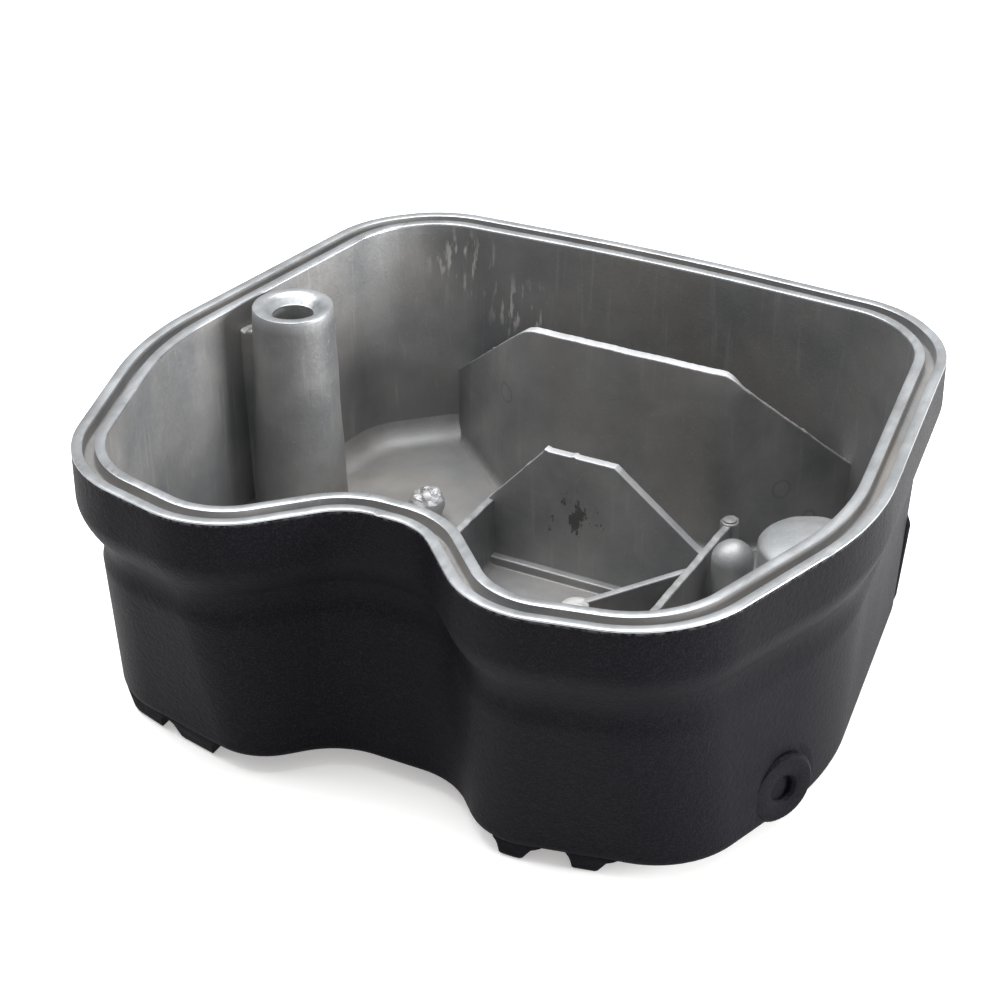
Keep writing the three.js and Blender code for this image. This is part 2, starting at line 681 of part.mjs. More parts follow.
function portBoss() {
  const inner = PORT_BOSS_PROUD - PORT_BOSS_LENGTH;
  const body = portLathe([
    vec(0, inner), vec(PORT_BOSS_RADIUS, inner), vec(PORT_BOSS_RADIUS, PORT_BOSS_PROUD - PORT_BOSS_CHAMFER),
    vec(PORT_BOSS_RADIUS - PORT_BOSS_CHAMFER, PORT_BOSS_PROUD), vec(0, PORT_BOSS_PROUD),
  ]);
  const bore = portLathe([
    vec(0, PORT_BOSS_PROUD - PORT_BORE_DEPTH), vec(PORT_BORE_RADIUS, PORT_BOSS_PROUD - PORT_BORE_DEPTH),
    vec(PORT_BORE_RADIUS, PORT_BOSS_PROUD - PORT_BORE_CHAMFER),
    vec(PORT_BORE_RADIUS + PORT_BORE_CHAMFER, PORT_BOSS_PROUD),
    vec(PORT_BORE_RADIUS + PORT_BORE_CHAMFER, PORT_BOSS_PROUD + 1), vec(0, PORT_BOSS_PROUD + 1),
  ]);
  return body.subtract(bore);
}

// Room for the port boss in the wall and the floor.
function portOpening() {
  const inner = PORT_BOSS_PROUD - PORT_BOSS_LENGTH - CLEARANCE;
  return portCylinder(PORT_BOSS_RADIUS + CLEARANCE, inner, PORT_BOSS_LENGTH);
}

// ---- Underside fins -------------------------------------------------------------------------

function finX(index) {
  return FIRST_FIN_X - index * FIN_PITCH;
}

// One outline of the underside that every fin is trimmed to.
function finFootprint() {
  const insets = addInset(outerWallInsets(PAN_BOTTOM_Z), FIN_EDGE_SETBACK);
  return toSolid(loftSolid([ringAt(insets, -1), ringAt(insets, PAN_BOTTOM_Z)]));
}

function fin(index, footprint) {
  const top = PAN_BOTTOM_Z - CLEARANCE;
  const x = finX(index);
  const outward = Math.sign(x);
  const wide = index >= FIN_COUNT - WIDE_FIN_COUNT;
  const half = (wide ? WIDE_FIN_TIP_WIDTH : FIN_TIP_WIDTH) / 2;
  const right = half + (outward > 0 ? FIN_OUTER_DRAFT : FIN_INNER_DRAFT);
  const left = half + (outward > 0 ? FIN_INNER_DRAFT : FIN_OUTER_DRAFT);
  const section = [vec(x - half, 0), vec(x + half, 0), vec(x + right, top), vec(x - left, top)];
  const frontY = NOTCH_FINS.includes(index) ? NOTCH_FIN_FRONT_Y : -2 * BACK_EDGE_Y;
  const bar = toSolid(extrudeAlongY(section, frontY, 2 * BACK_EDGE_Y));
  const spot = upright(BOLT_SPOT_RADIUS, -1, PAN_BOTTOM_Z, PILLAR_X, PILLAR_Y);
  return bar.intersect(footprint).subtract(spot).subtract(portOpening());
}

// ---- Corner lug -----------------------------------------------------------------------------

function cornerLug() {
  const bottom = LUG_BOTTOM_Z;
  const top = RIM_Z - LUG_TOP_DROP;
  const turn = THREE.MathUtils.degToRad(LUG_TURN);
  const wallTop = outlineReach(outerWallInsets(top), LUG_Y);
  const wallBottom = outlineReach(outerWallInsets(bottom), LUG_Y);
  const lean = (wallTop - wallBottom) * Math.cos(turn) + LUG_EXTRA_LEAN;
  const section = [
    vec(-LUG_DEPTH, bottom), vec(-lean - LUG_CHAMFER, bottom), vec(-lean, bottom + LUG_CHAMFER),
    vec(0, top), vec(-LUG_DEPTH, top),
  ];
  const block = extrudeAlongY(section, -LUG_WIDTH / 2, LUG_WIDTH / 2)
    .rotateZ(turn)
    .translate(wallTop + LUG_PROUD, LUG_Y, 0);
  const wall = [bottom - 1, top + 1].map((z) => ringAt(addInset(outerWallInsets(z), -CLEARANCE), z));
  return toSolid(block).subtract(toSolid(loftSolid(wall)));
}

// ---- Assembly -------------------------------------------------------------------------------

const housing = new THREE.Group();

const rimBox = new THREE.Box2().setFromPoints(outlineAt(everySide(0)));
const middleY = (rimBox.min.y + rimBox.max.y) / 2;

function add(name, solid, material) {
  const mesh = new THREE.Mesh(toGeometry(solid.translate([0, -middleY, 0])), material);
  mesh.name = name;
  housing.add(mesh);
}

const boltHole = upright(BOLT_BORE_RADIUS, -1, FLOOR_Z + FLOOR_FILLET, PILLAR_X, PILLAR_Y);

add('rim_flange', rimFlange(), machined());
add('side_wall', sideWall().subtract(portOpening()), coated());
add('floor_pan', floorPan().subtract(portOpening()).subtract(boltHole), coated());
add('bolt_pillar', boltPillar(), rawCasting());
add('pillar_web', pillarWeb(), rawCasting());
add('rear_baffle', rearBaffle(), rawCasting());
add('front_baffle', frontBaffle(), rawCasting());
add('baffle_foot_step', baffleStep(), rawCasting());
add('left_rib', leftRib(), rawCasting());
add('right_rib', rightRib(), rawCasting());
add('right_rib_post', ribPost(), rawCasting());
add('diagonal_rib', diagonalRib(), rawCasting());
add('diagonal_rib_post', padPost(), machined());
add('lobe_post', lobePost(), machined());
add('ball_boss', ballBoss(), rawCasting());
add('domed_boss', domedBoss(), rawCasting());
add('gate_stub', gateStub(), machined());
add('rib_stub', ribStub(), machined());
add('side_port_boss', portBoss(), coated());

add('corner_lug', cornerLug(), coated());

const footprint = finFootprint();
for (let index = 0; index < FIN_COUNT; index += 1) {
  add(`underside_fin_${index + 1}`, fin(index, footprint), coated());
}

export default housing;
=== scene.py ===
"""Looks of a die-cast housing tub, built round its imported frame.

Shapes are worked out in millimetres in the frame's own axes and turned into metres as each mesh is
made. The ground is at z = 0, the back of the tub at +Y and its open mouth at +Z.
"""

from __future__ import annotations
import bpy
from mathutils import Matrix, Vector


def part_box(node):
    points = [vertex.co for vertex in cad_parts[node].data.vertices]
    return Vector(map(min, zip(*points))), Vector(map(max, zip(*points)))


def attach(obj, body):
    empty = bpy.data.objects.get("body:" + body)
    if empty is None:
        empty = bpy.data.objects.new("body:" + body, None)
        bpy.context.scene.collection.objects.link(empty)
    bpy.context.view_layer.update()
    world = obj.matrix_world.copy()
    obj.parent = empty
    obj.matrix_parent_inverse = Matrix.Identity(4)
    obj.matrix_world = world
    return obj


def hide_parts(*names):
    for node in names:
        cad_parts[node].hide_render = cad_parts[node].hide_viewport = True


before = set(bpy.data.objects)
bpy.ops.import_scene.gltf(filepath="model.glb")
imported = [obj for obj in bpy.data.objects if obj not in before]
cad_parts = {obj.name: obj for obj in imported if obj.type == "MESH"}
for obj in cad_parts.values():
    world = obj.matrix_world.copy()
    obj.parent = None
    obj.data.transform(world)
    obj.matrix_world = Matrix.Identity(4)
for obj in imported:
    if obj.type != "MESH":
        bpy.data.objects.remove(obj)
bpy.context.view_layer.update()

import logging
import math
from dataclasses import dataclass
from enum import Enum

import bmesh
import bpy
import numpy as np
from mathutils import Matrix, Vector

LOG = logging.getLogger("housing")
MM = 0.001
BODY = "root"
RIM_Z = 74.5
FLOOR_Z = 11.5
PAN_Z = 4.5
SHIFT_Y = 0.11


class Slot(Enum):
    """Material slots of the record."""

    COAT = "black_coat"
    RAW = "raw_casting"
    LAND = "machined_land"


# ---- Mesh making ----------------------------------------------------------------------------


def smooth_noise(points: np.ndarray, wavelength: float, seed: int, waves: int = 9) -> np.ndarray:
    """Sum of sine waves that run in seeded random directions, scaled to about -1 to 1.

    Args:
        points: places, with the coordinates on the last axis, in millimetres.
        wavelength: typical wavelength in millimetres.
        seed: seed of the directions and phases.
        waves: how many waves are added.

    Returns:
        One value for each place.
    """
    rng = np.random.default_rng(seed)
    directions = rng.normal(size=(waves, points.shape[-1]))
    directions /= np.linalg.norm(directions, axis=1, keepdims=True)
    lengths = wavelength * rng.uniform(0.5, 1.6, size=waves)
    phases = rng.uniform(0, 2 * np.pi, size=waves)
    angle = points @ (directions * (2 * np.pi / lengths)[:, None]).T + phases
    return np.sin(angle).sum(axis=-1) / math.sqrt(waves)


def blend_step(values: np.ndarray, start: float, end: float) -> np.ndarray:
    """Smooth step from 0 at start to 1 at end."""
    share = np.clip((values - start) / (end - start), 0, 1)
    return share * share * (3 - 2 * share)


def quarter(steps: int, start: float, end: float) -> np.ndarray:
    """Evenly spaced angles between two bearings given in degrees."""
    return np.radians(np.linspace(start, end, steps + 1))


@dataclass
class Surface:
    """A grid of points that becomes a closed mesh, its last column joined to its first.

    Attributes:
        points: rows by columns by 3, in millimetres.
        close_rows: the last row joins the first.
        cap_rows: the first and the last row are filled with one face each.
        strips: material index of the faces after each row.
        wear_and_highlight: rows by columns, from 0 to 1: how worn each point is, and on plate top edges how
            strong the painted highlight is.
    """

    points: np.ndarray
    close_rows: bool = False
    cap_rows: bool = False
    strips: np.ndarray | None = None
    wear_and_highlight: np.ndarray | None = None

    def faces(self) -> tuple[np.ndarray, np.ndarray]:
        """Quads of the grid as corner indices, and the row that each one starts from.

        Returns:
            Quads by 4, and the starting row of each.
        """
        rows, columns = self.points.shape[:2]
        row = np.arange(rows if self.close_rows else rows - 1)
        column = np.arange(columns)
        row, column = (axis.ravel() for axis in np.meshgrid(row, column, indexing="ij"))
        below, beside = (row + 1) % rows, (column + 1) % columns
        start, end = row * columns, below * columns
        quads = [start + column, start + beside, end + beside, end + column]
        return np.stack(quads, axis=1), row

    def build(self, name: str, finishes: list[bpy.types.Material], sharp: float = 38.0) -> bpy.types.Object:
        """Make the mesh and its object, riding on the frame's body.

        Args:
            name: name of the piece.
            finishes: materials in the order of the strips' indices.
            sharp: edges that turn by more degrees than this stay sharp.

        Returns:
            The finished object, at the origin.
        """
        rows, columns = self.points.shape[:2]
        quads, row = self.faces()
        faces = quads.tolist()
        index = np.zeros(len(faces), int) if self.strips is None else np.asarray(self.strips)[row]
        if self.cap_rows:
            faces.append(list(range(columns)))
            faces.append(list(range((rows - 1) * columns, rows * columns)))
            index = np.append(index, [index[0], index[-1]])
        mesh = bpy.data.meshes.new(name)
        mesh.from_pydata((self.points.reshape(-1, 3) * MM).tolist(), [], faces)
        mesh.polygons.foreach_set("material_index", index.astype(np.int32))
        wear_and_highlight = np.zeros((rows, columns)) if self.wear_and_highlight is None else self.wear_and_highlight
        layer = mesh.attributes.new("wear_and_highlight", "FLOAT", "POINT")
        layer.data.foreach_set("value", wear_and_highlight.ravel().astype(np.float32))
        work = bmesh.new()
        work.from_mesh(mesh)
        bmesh.ops.remove_doubles(work, verts=work.verts, dist=2e-6)
        bmesh.ops.recalc_face_normals(work, faces=work.faces)
        work.to_mesh(mesh)
        work.free()
        mesh.polygons.foreach_set("use_smooth", np.ones(len(mesh.polygons), bool))
        mesh.set_sharp_from_angle(angle=math.radians(sharp))
        for finish in finishes:
            mesh.materials.append(finish)
        piece = bpy.data.objects.new(name, mesh)
        bpy.context.scene.collection.objects.link(piece)
        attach(piece, BODY)
        return piece


def publish(piece: bpy.types.Object, slot: Slot, *nodes: str) -> bpy.types.Object:
    """Hide the frame nodes that a piece stands for and log its face count.

    Args:
        piece: the finished piece.
        slot: not used.
        *nodes: names of the nodes that it replaces.

    Returns:
        The same piece.
    """
    if nodes:
        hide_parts(*nodes)
    faces = len(piece.data.polygons)
    LOG.info("%s: %d faces, stands for %s", piece.name, faces, ", ".join(nodes) or "nothing")
    return piece


def lathe(profile: np.ndarray, x: float, y: float, steps: int = 72) -> np.ndarray:
    """Turn a profile of (radius, height) pairs round an upright axis.

    Args:
        profile: rows of radius and height.
        x: place of the axis.
        y: place of the axis.
        steps: columns round the axis.

    Returns:
        Grid with x = axis + radius * cos(turn), y = axis + radius * sin(turn), z = height.
    """
    turn = np.linspace(0, 2 * np.pi, steps, endpoint=False)
    radius, height = profile[:, :1], profile[:, 1:2]
    flat = np.stack([x + radius * np.cos(turn), y + radius * np.sin(turn)], axis=-1)
    return np.concatenate([flat, np.broadcast_to(height, flat.shape[:2])[..., None]], axis=-1)


# ---- Outline of the tub ---------------------------------------------------------------------


@dataclass(frozen=True)
class Outline:
    """The tub's outline seen from above, with two lobes at the front and a notch between them."""

    back_y: float = 89.0
    back_bow: float = 600.0
    half: tuple[tuple[float, float, float], ...] = (
        (67.4, 85.6, 30.0),
        (84.7, 69.3, 30.0),
        (98.1, -18.7, 78.9),
        (79.2, -80.9, 32.7),
        (33.7, -90.9, 26.0),
        (9.0, -66.2, 16.2),
    )
    arc_steps: int = 22
    side_steps: int = 16

    def corners(self) -> np.ndarray:
        """Corners as rows of x, y and radius, anticlockwise from the middle of the back.

        Returns:
            Corners by 3.
        """
        half = np.array(self.half)
        left = half * (-1, 1, 1)
        return np.vstack([[0, self.back_y, self.back_bow], left, half[::-1]])

    def ring(self, insets: np.ndarray) -> np.ndarray:
        """Rounded outline moved inwards, one for each level.

        Each side is moved along its own normal by its inset, neighbouring sides are crossed to find
        the new corner, and an arc that touches both sides replaces the corner.

        Args:
            insets: levels by sides, in millimetres.

        Returns:
            Levels by points by 2.
        """
        insets = np.atleast_2d(insets).astype(float)
        corners = self.corners()
        place, radius = corners[:, :2], corners[:, 2]
        along = np.roll(place, -1, 0) - place
        along /= np.linalg.norm(along, axis=1, keepdims=True)
        normal = np.stack([-along[:, 1], along[:, 0]], axis=1)
        origin = place + normal * insets[..., None]
        before, before_origin = np.roll(along, 1, 0), np.roll(origin, 1, 1)
        turn = before[:, 0] * along[:, 1] - before[:, 1] * along[:, 0]
        gap = origin - before_origin
        reach = (gap[..., 0] * along[:, 1] - gap[..., 1] * along[:, 0]) / turn
        corner = before_origin + before * reach[..., None]
        mean_inset = (insets + np.roll(insets, 1, 1)) / 2
        radius = np.maximum(radius - np.sign(turn) * mean_inset, 2.0)
        half_turn = np.arcsin(np.clip(np.abs(turn), 0, 1)) / 2
        half_turn = np.where((before * along).sum(1) < 0, np.pi / 2 - half_turn, half_turn)
        cut = radius * np.tan(half_turn)
        start = corner - before * cut[..., None]
        end = corner + along * cut[..., None]
        side = np.sign(turn)[:, None] * np.stack([-before[:, 1], before[:, 0]], axis=1)
        centre = start + side * radius[..., None]
        angle = np.linspace(0, 1, self.arc_steps + 1) * (2 * half_turn * np.sign(turn))[:, None]
        arm = start - centre
        cosine, sine = np.cos(angle), np.sin(angle)
        arc = np.stack(
            [
                arm[..., None, 0] * cosine - arm[..., None, 1] * sine,
                arm[..., None, 0] * sine + arm[..., None, 1] * cosine,
            ],
            axis=-1,
        ) + centre[..., None, :]
        share = np.linspace(0, 1, self.side_steps + 2)[1:-1, None]
        nearest = np.roll(start, -1, 1)[..., None, :]
        straight = end[..., None, :] + (nearest - end[..., None, :]) * share
        points = np.concatenate([arc, straight], axis=2)
        points = points.reshape(len(insets), -1, 2)
        return points + (0, SHIFT_Y)

    def level(self, insets: np.ndarray, heights: np.ndarray) -> np.ndarray:
        """Rings at given heights as levels by points by 3.

        Args:
            insets: levels by sides, in millimetres.
            heights: height of each level.

        Returns:
            Levels by points by 3.
        """
        flat = self.ring(insets)
        heights = np.broadcast_to(np.asarray(heights, float)[:, None], flat.shape[:2])
        return np.concatenate([flat, heights[..., None]], axis=-1)

    def everywhere(self, insets: np.ndarray) -> np.ndarray:
        """The same inset on every side, one row for each level."""
        return np.repeat(np.asarray(insets, float)[:, None], len(self.corners()), axis=1)


@dataclass(frozen=True)
class WallSizes:
    """How far the walls lean in. Heights run down from the rim, insets in from its outline."""

    shoulder_inset: float = 4.5
    shoulder_depth: float = 21.5
    base_depth: float = 70.0
    thickness: float = 3.8
    rim_width: float = 8.0
    base_sides: tuple[float, ...] = (6.0, 11.5, 6.5, 4.6, 12.0, 6.5)
    base_notch: float = 3.0

    def base(self) -> np.ndarray:
        """Insets of all sides at the base."""
        half = list(self.base_sides)
        return np.array([*half, self.base_notch, *half[::-1]])

    def outer(self, depth: np.ndarray) -> np.ndarray:
        """Outer insets: they grow in a straight line from the shoulder to the base."""
        share = (np.asarray(depth, float) - self.shoulder_depth) / (self.base_depth - self.shoulder_depth)
        return self.shoulder_inset + (self.base() - self.shoulder_inset) * share[:, None]

    def inner(self, depth: np.ndarray) -> np.ndarray:
        """Inner insets: they grow in a straight line from the rim's inner edge to the floor.

        Args:
            depth: depths below the rim.

        Returns:
            Depths by sides.
        """
        base = np.maximum(self.base() + self.thickness, self.rim_width + 0.8)
        share = np.asarray(depth, float) / self.base_depth
        return self.rim_width + (base - self.rim_width) * share[:, None]


OUTLINE = Outline()
WALLS = WallSizes()


# ---- Finishes -------------------------------------------------------------------------------


class NodeSheet:
    """Short way to put nodes into a material."""

    def __init__(self, name: str) -> None:
        """Start a material that holds only its output and its surface shader.

        Args:
            name: name of the material.
        """
        self.material = bpy.data.materials.new(name)
        self.material.use_nodes = True
        self.tree = self.material.node_tree
        self.shader = next(node for node in self.tree.nodes if node.type == "BSDF_PRINCIPLED")

    def add(self, kind: str, inputs: dict | None = None, **settings: object) -> bpy.types.Node:
        """Add a node, set its options and its sockets.

        Args:
            kind: node type without its prefix.
            inputs: socket names or numbers with a value or an output to link.
            **settings: options of the node itself.

        Returns:
            The new node.
        """
        node = self.tree.nodes.new("ShaderNode" + kind)
        for key, value in settings.items():
            setattr(node, key, value)
        for key, value in (inputs or {}).items():
            self.put(node, key, value)
        return node

    def put(self, node: bpy.types.Node, key: str | int, value: object) -> None:
        """Set or link one socket of a node.

        Args:
            node: the node that has it.
            key: name or number of the socket.
            value: a value, or an output to link.
        """
        if isinstance(value, bpy.types.NodeSocket):
            self.tree.links.new(value, node.inputs[key])
        else:
            node.inputs[key].default_value = value

    def place(self, scale: tuple[float, float, float] = (1, 1, 1)) -> bpy.types.NodeSocket:
        """Object coordinates, stretched by a scale."""
        where = self.add("TexCoord").outputs["Object"]
        return self.add("Mapping", {"Vector": where, "Scale": scale}).outputs["Vector"]

    def noise(self, vector: bpy.types.NodeSocket, scale: float, detail: float,
              rough: float) -> bpy.types.NodeSocket:
        """Value of a noise texture."""
        inputs = {"Vector": vector, "Scale": scale, "Detail": detail, "Roughness": rough}
        return self.add("TexNoise", inputs).outputs["Fac"]

    def fit(self, value: bpy.types.NodeSocket, low: float, high: float, to_low: float = 0.0,
            to_high: float = 1.0) -> bpy.types.NodeSocket:
        """Map a range of values to another, held at both ends."""
        inputs = {"Value": value, "From Min": low, "From Max": high, "To Min": to_low, "To Max": to_high}
        return self.add("MapRange", inputs).outputs["Result"]

    def math(self, operation: str, first: object, second: object = 0.0) -> bpy.types.NodeSocket:
        """One arithmetic step."""
        return self.add("Math", {0: first, 1: second}, operation=operation).outputs[0]

    def mix(self, share: object, first: object, second: object) -> bpy.types.NodeSocket:
        """Mix two colours.

        Args:
            share: how much of the second colour.
            first: first colour.
            second: second colour.

        Returns:
            The mixed colour.
        """
        node = self.add("Mix", data_type="RGBA")
        for socket, value in zip((node.inputs[0], node.inputs[6], node.inputs[7]), (share, first, second)):
            if isinstance(value, bpy.types.NodeSocket):
                self.tree.links.new(value, socket)
            else:
                socket.default_value = value
        return node.outputs[2]

    def near(self, where: tuple[float, float, float], reach: float, soft: float) -> bpy.types.NodeSocket:
        """1 near a place given in metres, falling to 0 at reach plus soft."""
        spot = self.add("VectorMath", {0: self.place(), 1: where}, operation="DISTANCE").outputs["Value"]
        return self.fit(spot, reach, reach + soft, 1.0, 0.0)

    def wear_and_highlight(self) -> bpy.types.NodeSocket:
        """The mesh's own attribute that marks worn edges and painted highlights."""
        return self.add("Attribute", attribute_name="wear_and_highlight").outputs["Fac"]

    def bump(self, height: bpy.types.NodeSocket, strength: float, distance: float,
             under: bpy.types.NodeSocket | None = None) -> bpy.types.NodeSocket:
        """Bump from a height, on top of another bump if one is given.

        Args:
            height: height to read.
            strength: share of the bump.
            distance: height of the bump in metres.
            under: the bump it lies on.

        Returns:
            The bent normal.
        """
        inputs = {"Height": height, "Strength": strength, "Distance": distance}
        if under is not None:
            inputs["Normal"] = under
        return self.add("Bump", inputs).outputs["Normal"]

    def surface(self, **values: object) -> bpy.types.Material:
        """Set the surface shader's sockets and return the material.

        Args:
            **values: sockets by their short names.

        Returns:
            The material.
        """
        for key, value in values.items():
            self.put(self.shader, SOCKETS[key], value)
        return self.material


SOCKETS = {
    "color": "Base Color",
    "metallic": "Metallic",
    "roughness": "Roughness",
    "normal": "Normal",
    "specular": "Specular IOR Level",
}


def grey(value: float, warm: float = 0.0) -> tuple[float, float, float, float]:
    """Grey with a warm (positive) or cool (negative) cast."""
    return (value * (1 + warm), value, value * (1 - warm), 1.0)


@dataclass(frozen=True)
class PowderCoat:
    """Black powder coat with a fine grain that turns bare and grey where edges are rubbed."""

    name: str = "black_powder_coat"
    dark: tuple[float, float, float, float] = (0.0013, 0.0013, 0.0026, 1.0)
    light: tuple[float, float, float, float] = (0.0030, 0.0029, 0.0046, 1.0)
    worn: tuple[float, float, float, float] = (0.30, 0.30, 0.31, 1.0)
    glint: tuple[float, float, float, float] = (0.0125, 0.0118, 0.0150, 1.0)
    grain_scale: float = 2300.0
    coarse_share: float = 0.33
    patch_scale: float = 14.0
    specular: float = 0.05

    def make(self) -> bpy.types.Material:
        """Build the node material.

        Returns:
            The material.
        """
        sheet = NodeSheet(self.name)
        where = sheet.place()
        grain = sheet.noise(where, self.grain_scale, 2.0, 0.6)
        coarse = sheet.noise(where, self.grain_scale * self.coarse_share, 2.0, 0.5)
        patch = sheet.noise(where, self.patch_scale, 3.0, 0.5)
        speck = sheet.fit(grain, 0.46, 0.66)
        tone = sheet.mix(sheet.fit(patch, 0.3, 0.7), self.dark, self.light)
        tone = sheet.mix(sheet.math("MULTIPLY", speck, 0.6), tone, self.glint)
        rub = sheet.math("MULTIPLY", sheet.wear_and_highlight(), sheet.fit(coarse, 0.42, 0.60))
        tone = sheet.mix(rub, tone, self.worn)
        rough = sheet.fit(sheet.math("ADD", grain, patch), 0.7, 1.4, 0.46, 0.64)
        height = sheet.math("ADD", grain, sheet.math("MULTIPLY", coarse, 1.4))
        normal = sheet.bump(height, 0.55, 0.00022)
        return sheet.surface(color=tone, roughness=rough, metallic=0.0, normal=normal, specular=self.specular)


@dataclass(frozen=True)
class RawCasting:
    """Bare cast aluminium, mottled, with flow marks and upright drag lines from the die."""

    name: str = "raw_cast_aluminium"
    dark: float = 0.175
    light: float = 0.31
    warm: float = 0.05
    streaks: float = 0.5
    roughness: float = 0.47
    metallic: float = 0.55
    mottle_scale: float = 42.0
    fine_scale: float = 1300.0
    stain_scale: float = 19.0
    drag_scale: float = 520.0
    scar_scale: float = 620.0
    smear_scale: float = 230.0
    edge_tone: tuple[float, float, float, float] = (0.50, 0.51, 0.53, 1.0)
    scar_tone: tuple[float, float, float, float] = (0.62, 0.60, 0.57, 1.0)
    scars: bool = False
    rings: tuple[tuple[float, float, float, float], ...] = ()
    stain: tuple[float, float, float] | None = None

    def make(self) -> bpy.types.Material:
        """Build the node material.

        Returns:
            The material.
        """
        sheet = NodeSheet(self.name)
        where = sheet.place()
        mottle = sheet.noise(where, self.mottle_scale, 5.0, 0.6)
        fine = sheet.noise(where, self.fine_scale, 3.0, 0.6)
        stain = sheet.noise(sheet.place((1.0, 1.0, 0.45)), self.stain_scale, 4.0, 0.65)
        drag = sheet.noise(sheet.place((1.0, 1.0, 0.06)), self.drag_scale, 3.0, 0.6)
        dark, light = grey(self.dark, -0.03), grey(self.light, self.warm * 0.4)
        tone = sheet.mix(sheet.fit(mottle, 0.3, 0.72), dark, light)
        brown = sheet.math("MULTIPLY", sheet.fit(stain, 0.50, 0.68), 0.42)
        tone = sheet.mix(brown, tone, grey(self.light * 0.72, self.warm * 2.2))
        cool = sheet.math("MULTIPLY", sheet.fit(stain, 0.46, 0.30), 0.35)
        tone = sheet.mix(cool, tone, (self.dark * 0.95, self.dark * 0.99, self.dark * 1.12, 1.0))
        lines = sheet.math("MULTIPLY", sheet.fit(drag, 0.58, 0.74), 0.32 * self.streaks)
        tone = sheet.mix(lines, tone, grey(self.light * 1.5))
        if self.scars:
            tone = self.drag_scars(sheet, tone)
        for ring in self.rings:
            tone = self.pin_ring(sheet, tone, ring)
        if self.stain is not None:
            tone = self.scratches(sheet, tone)
        glint = sheet.math("MULTIPLY", sheet.fit(fine, 0.58, 0.75), 0.3)
        tone = sheet.mix(glint, tone, grey(self.light * 1.35))
        # Lighter edge tone from the mesh attribute: worn edges, and a painted highlight on the plates' level
        # top edges.
        edge = sheet.math("MULTIPLY", sheet.wear_and_highlight(), sheet.fit(mottle, 0.25, 0.6, 0.55, 1.0))
        tone = sheet.mix(edge, tone, self.edge_tone)
        low, high = self.roughness - 0.06, self.roughness + 0.14
        rough = sheet.fit(sheet.math("ADD", mottle, fine), 0.7, 1.35, low, high)
        normal = sheet.bump(fine, 0.35, 0.00016)
        normal = sheet.bump(mottle, 0.25, 0.0008, normal)
        return sheet.surface(color=tone, roughness=rough, metallic=self.metallic, normal=normal)

    def pin_ring(self, sheet: NodeSheet, tone: bpy.types.NodeSocket, ring: tuple) -> bpy.types.NodeSocket:
        """Faint dark circle that an ejector pin pressed into the surface.

        Args:
            sheet: the material's nodes.
            tone: the colour so far.
            ring: place and radius in millimetres.

        Returns:
            The new colour.
        """
        *place, radius = (value * MM for value in ring)
        ends = {0: sheet.place(), 1: tuple(place)}
        spot = sheet.add("VectorMath", ends, operation="DISTANCE").outputs["Value"]
        off = sheet.math("ABSOLUTE", sheet.math("SUBTRACT", spot, radius))
        share = sheet.math("MULTIPLY", sheet.fit(off, 0.0001, 0.0005, 1.0, 0.0), 0.3)
        return sheet.mix(share, tone, grey(self.dark * 0.45))

    def scratches(self, sheet: NodeSheet, tone: bpy.types.NodeSocket) -> bpy.types.NodeSocket:
        """Black scratchy smear in the middle of a plate.

        Args:
            sheet: the material's nodes.
            tone: the colour so far.

        Returns:
            The new colour.
        """
        mask = sheet.near(tuple(value * MM for value in self.stain), 1.5 * MM, 10.0 * MM)
        smear = sheet.noise(sheet.place((1.6, 1.0, 0.75)), self.smear_scale, 4.0, 0.7)
        share = sheet.fit(sheet.math("ADD", smear, sheet.math("MULTIPLY", mask, 0.28)), 0.74, 0.80)
        return sheet.mix(sheet.math("MULTIPLY", share, 0.7), tone, grey(0.02))

    def drag_scars(self, sheet: NodeSheet, tone: bpy.types.NodeSocket) -> bpy.types.NodeSocket:
        """Light upright scratches near the top of the back wall, where the die dragged on it.

        Args:
            sheet: the material's nodes.
            tone: the colour so far.

        Returns:
            The new colour.
        """
        marks = sheet.noise(sheet.place((1.0, 1.0, 0.22)), self.scar_scale, 2.0, 0.55)
        dashes = sheet.fit(marks, 0.56, 0.66)
        for place, reach in SCAR_PLACES:
            mask = sheet.near(tuple(value * MM for value in place), reach * 0.35 * MM, reach * MM)
            share = sheet.math("MULTIPLY", sheet.math("MULTIPLY", dashes, mask), 0.85)
            tone = sheet.mix(share, tone, self.scar_tone)
        return tone


SCAR_PLACES = (
    ((-57.0, 78.0, 64.0), 9.0),
    ((-40.0, 80.0, 52.0), 9.0),
    ((84.5, 42.0, 54.0), 15.0),
)


@dataclass(frozen=True)
class MilledFace:
    """Bright milled aluminium with fine cutter lines and small dull spots."""

    name: str = "milled_aluminium"
    dull: tuple[float, float, float, float] = (0.30, 0.31, 0.32, 1.0)
    bright: tuple[float, float, float, float] = (0.40, 0.415, 0.43, 1.0)
    line_scale: float = 900.0
    patch_scale: float = 85.0
    pit_scale: float = 900.0
    metallic: float = 0.85

    def make(self) -> bpy.types.Material:
        """Build the node material.

        Returns:
            The material.
        """
        sheet = NodeSheet(self.name)
        lines = sheet.noise(sheet.place((1.0, 0.12, 1.0)), self.line_scale, 2.0, 0.5)
        patch = sheet.noise(sheet.place(), self.patch_scale, 4.0, 0.6)
        pits = sheet.noise(sheet.place(), self.pit_scale, 2.0, 0.5)
        tone = sheet.mix(sheet.fit(patch, 0.3, 0.6), self.dull, self.bright)
        tone = sheet.mix(sheet.math("MULTIPLY", sheet.fit(pits, 0.64, 0.74), 0.5), tone, grey(0.28))
        rough = sheet.fit(sheet.math("ADD", lines, patch), 0.7, 1.3, 0.26, 0.46)
        normal = sheet.bump(lines, 0.12, 0.00005)
        normal = sheet.bump(pits, 0.15, 0.0001, normal)
        return sheet.surface(color=tone, roughness=rough, metallic=self.metallic, normal=normal)


REAR_RINGS = ((46.0, 60.0, 28.0, 2.6), (52.0, 66.0, 18.0, 2.0), (-31.0, 51.5, 42.0, 2.6))


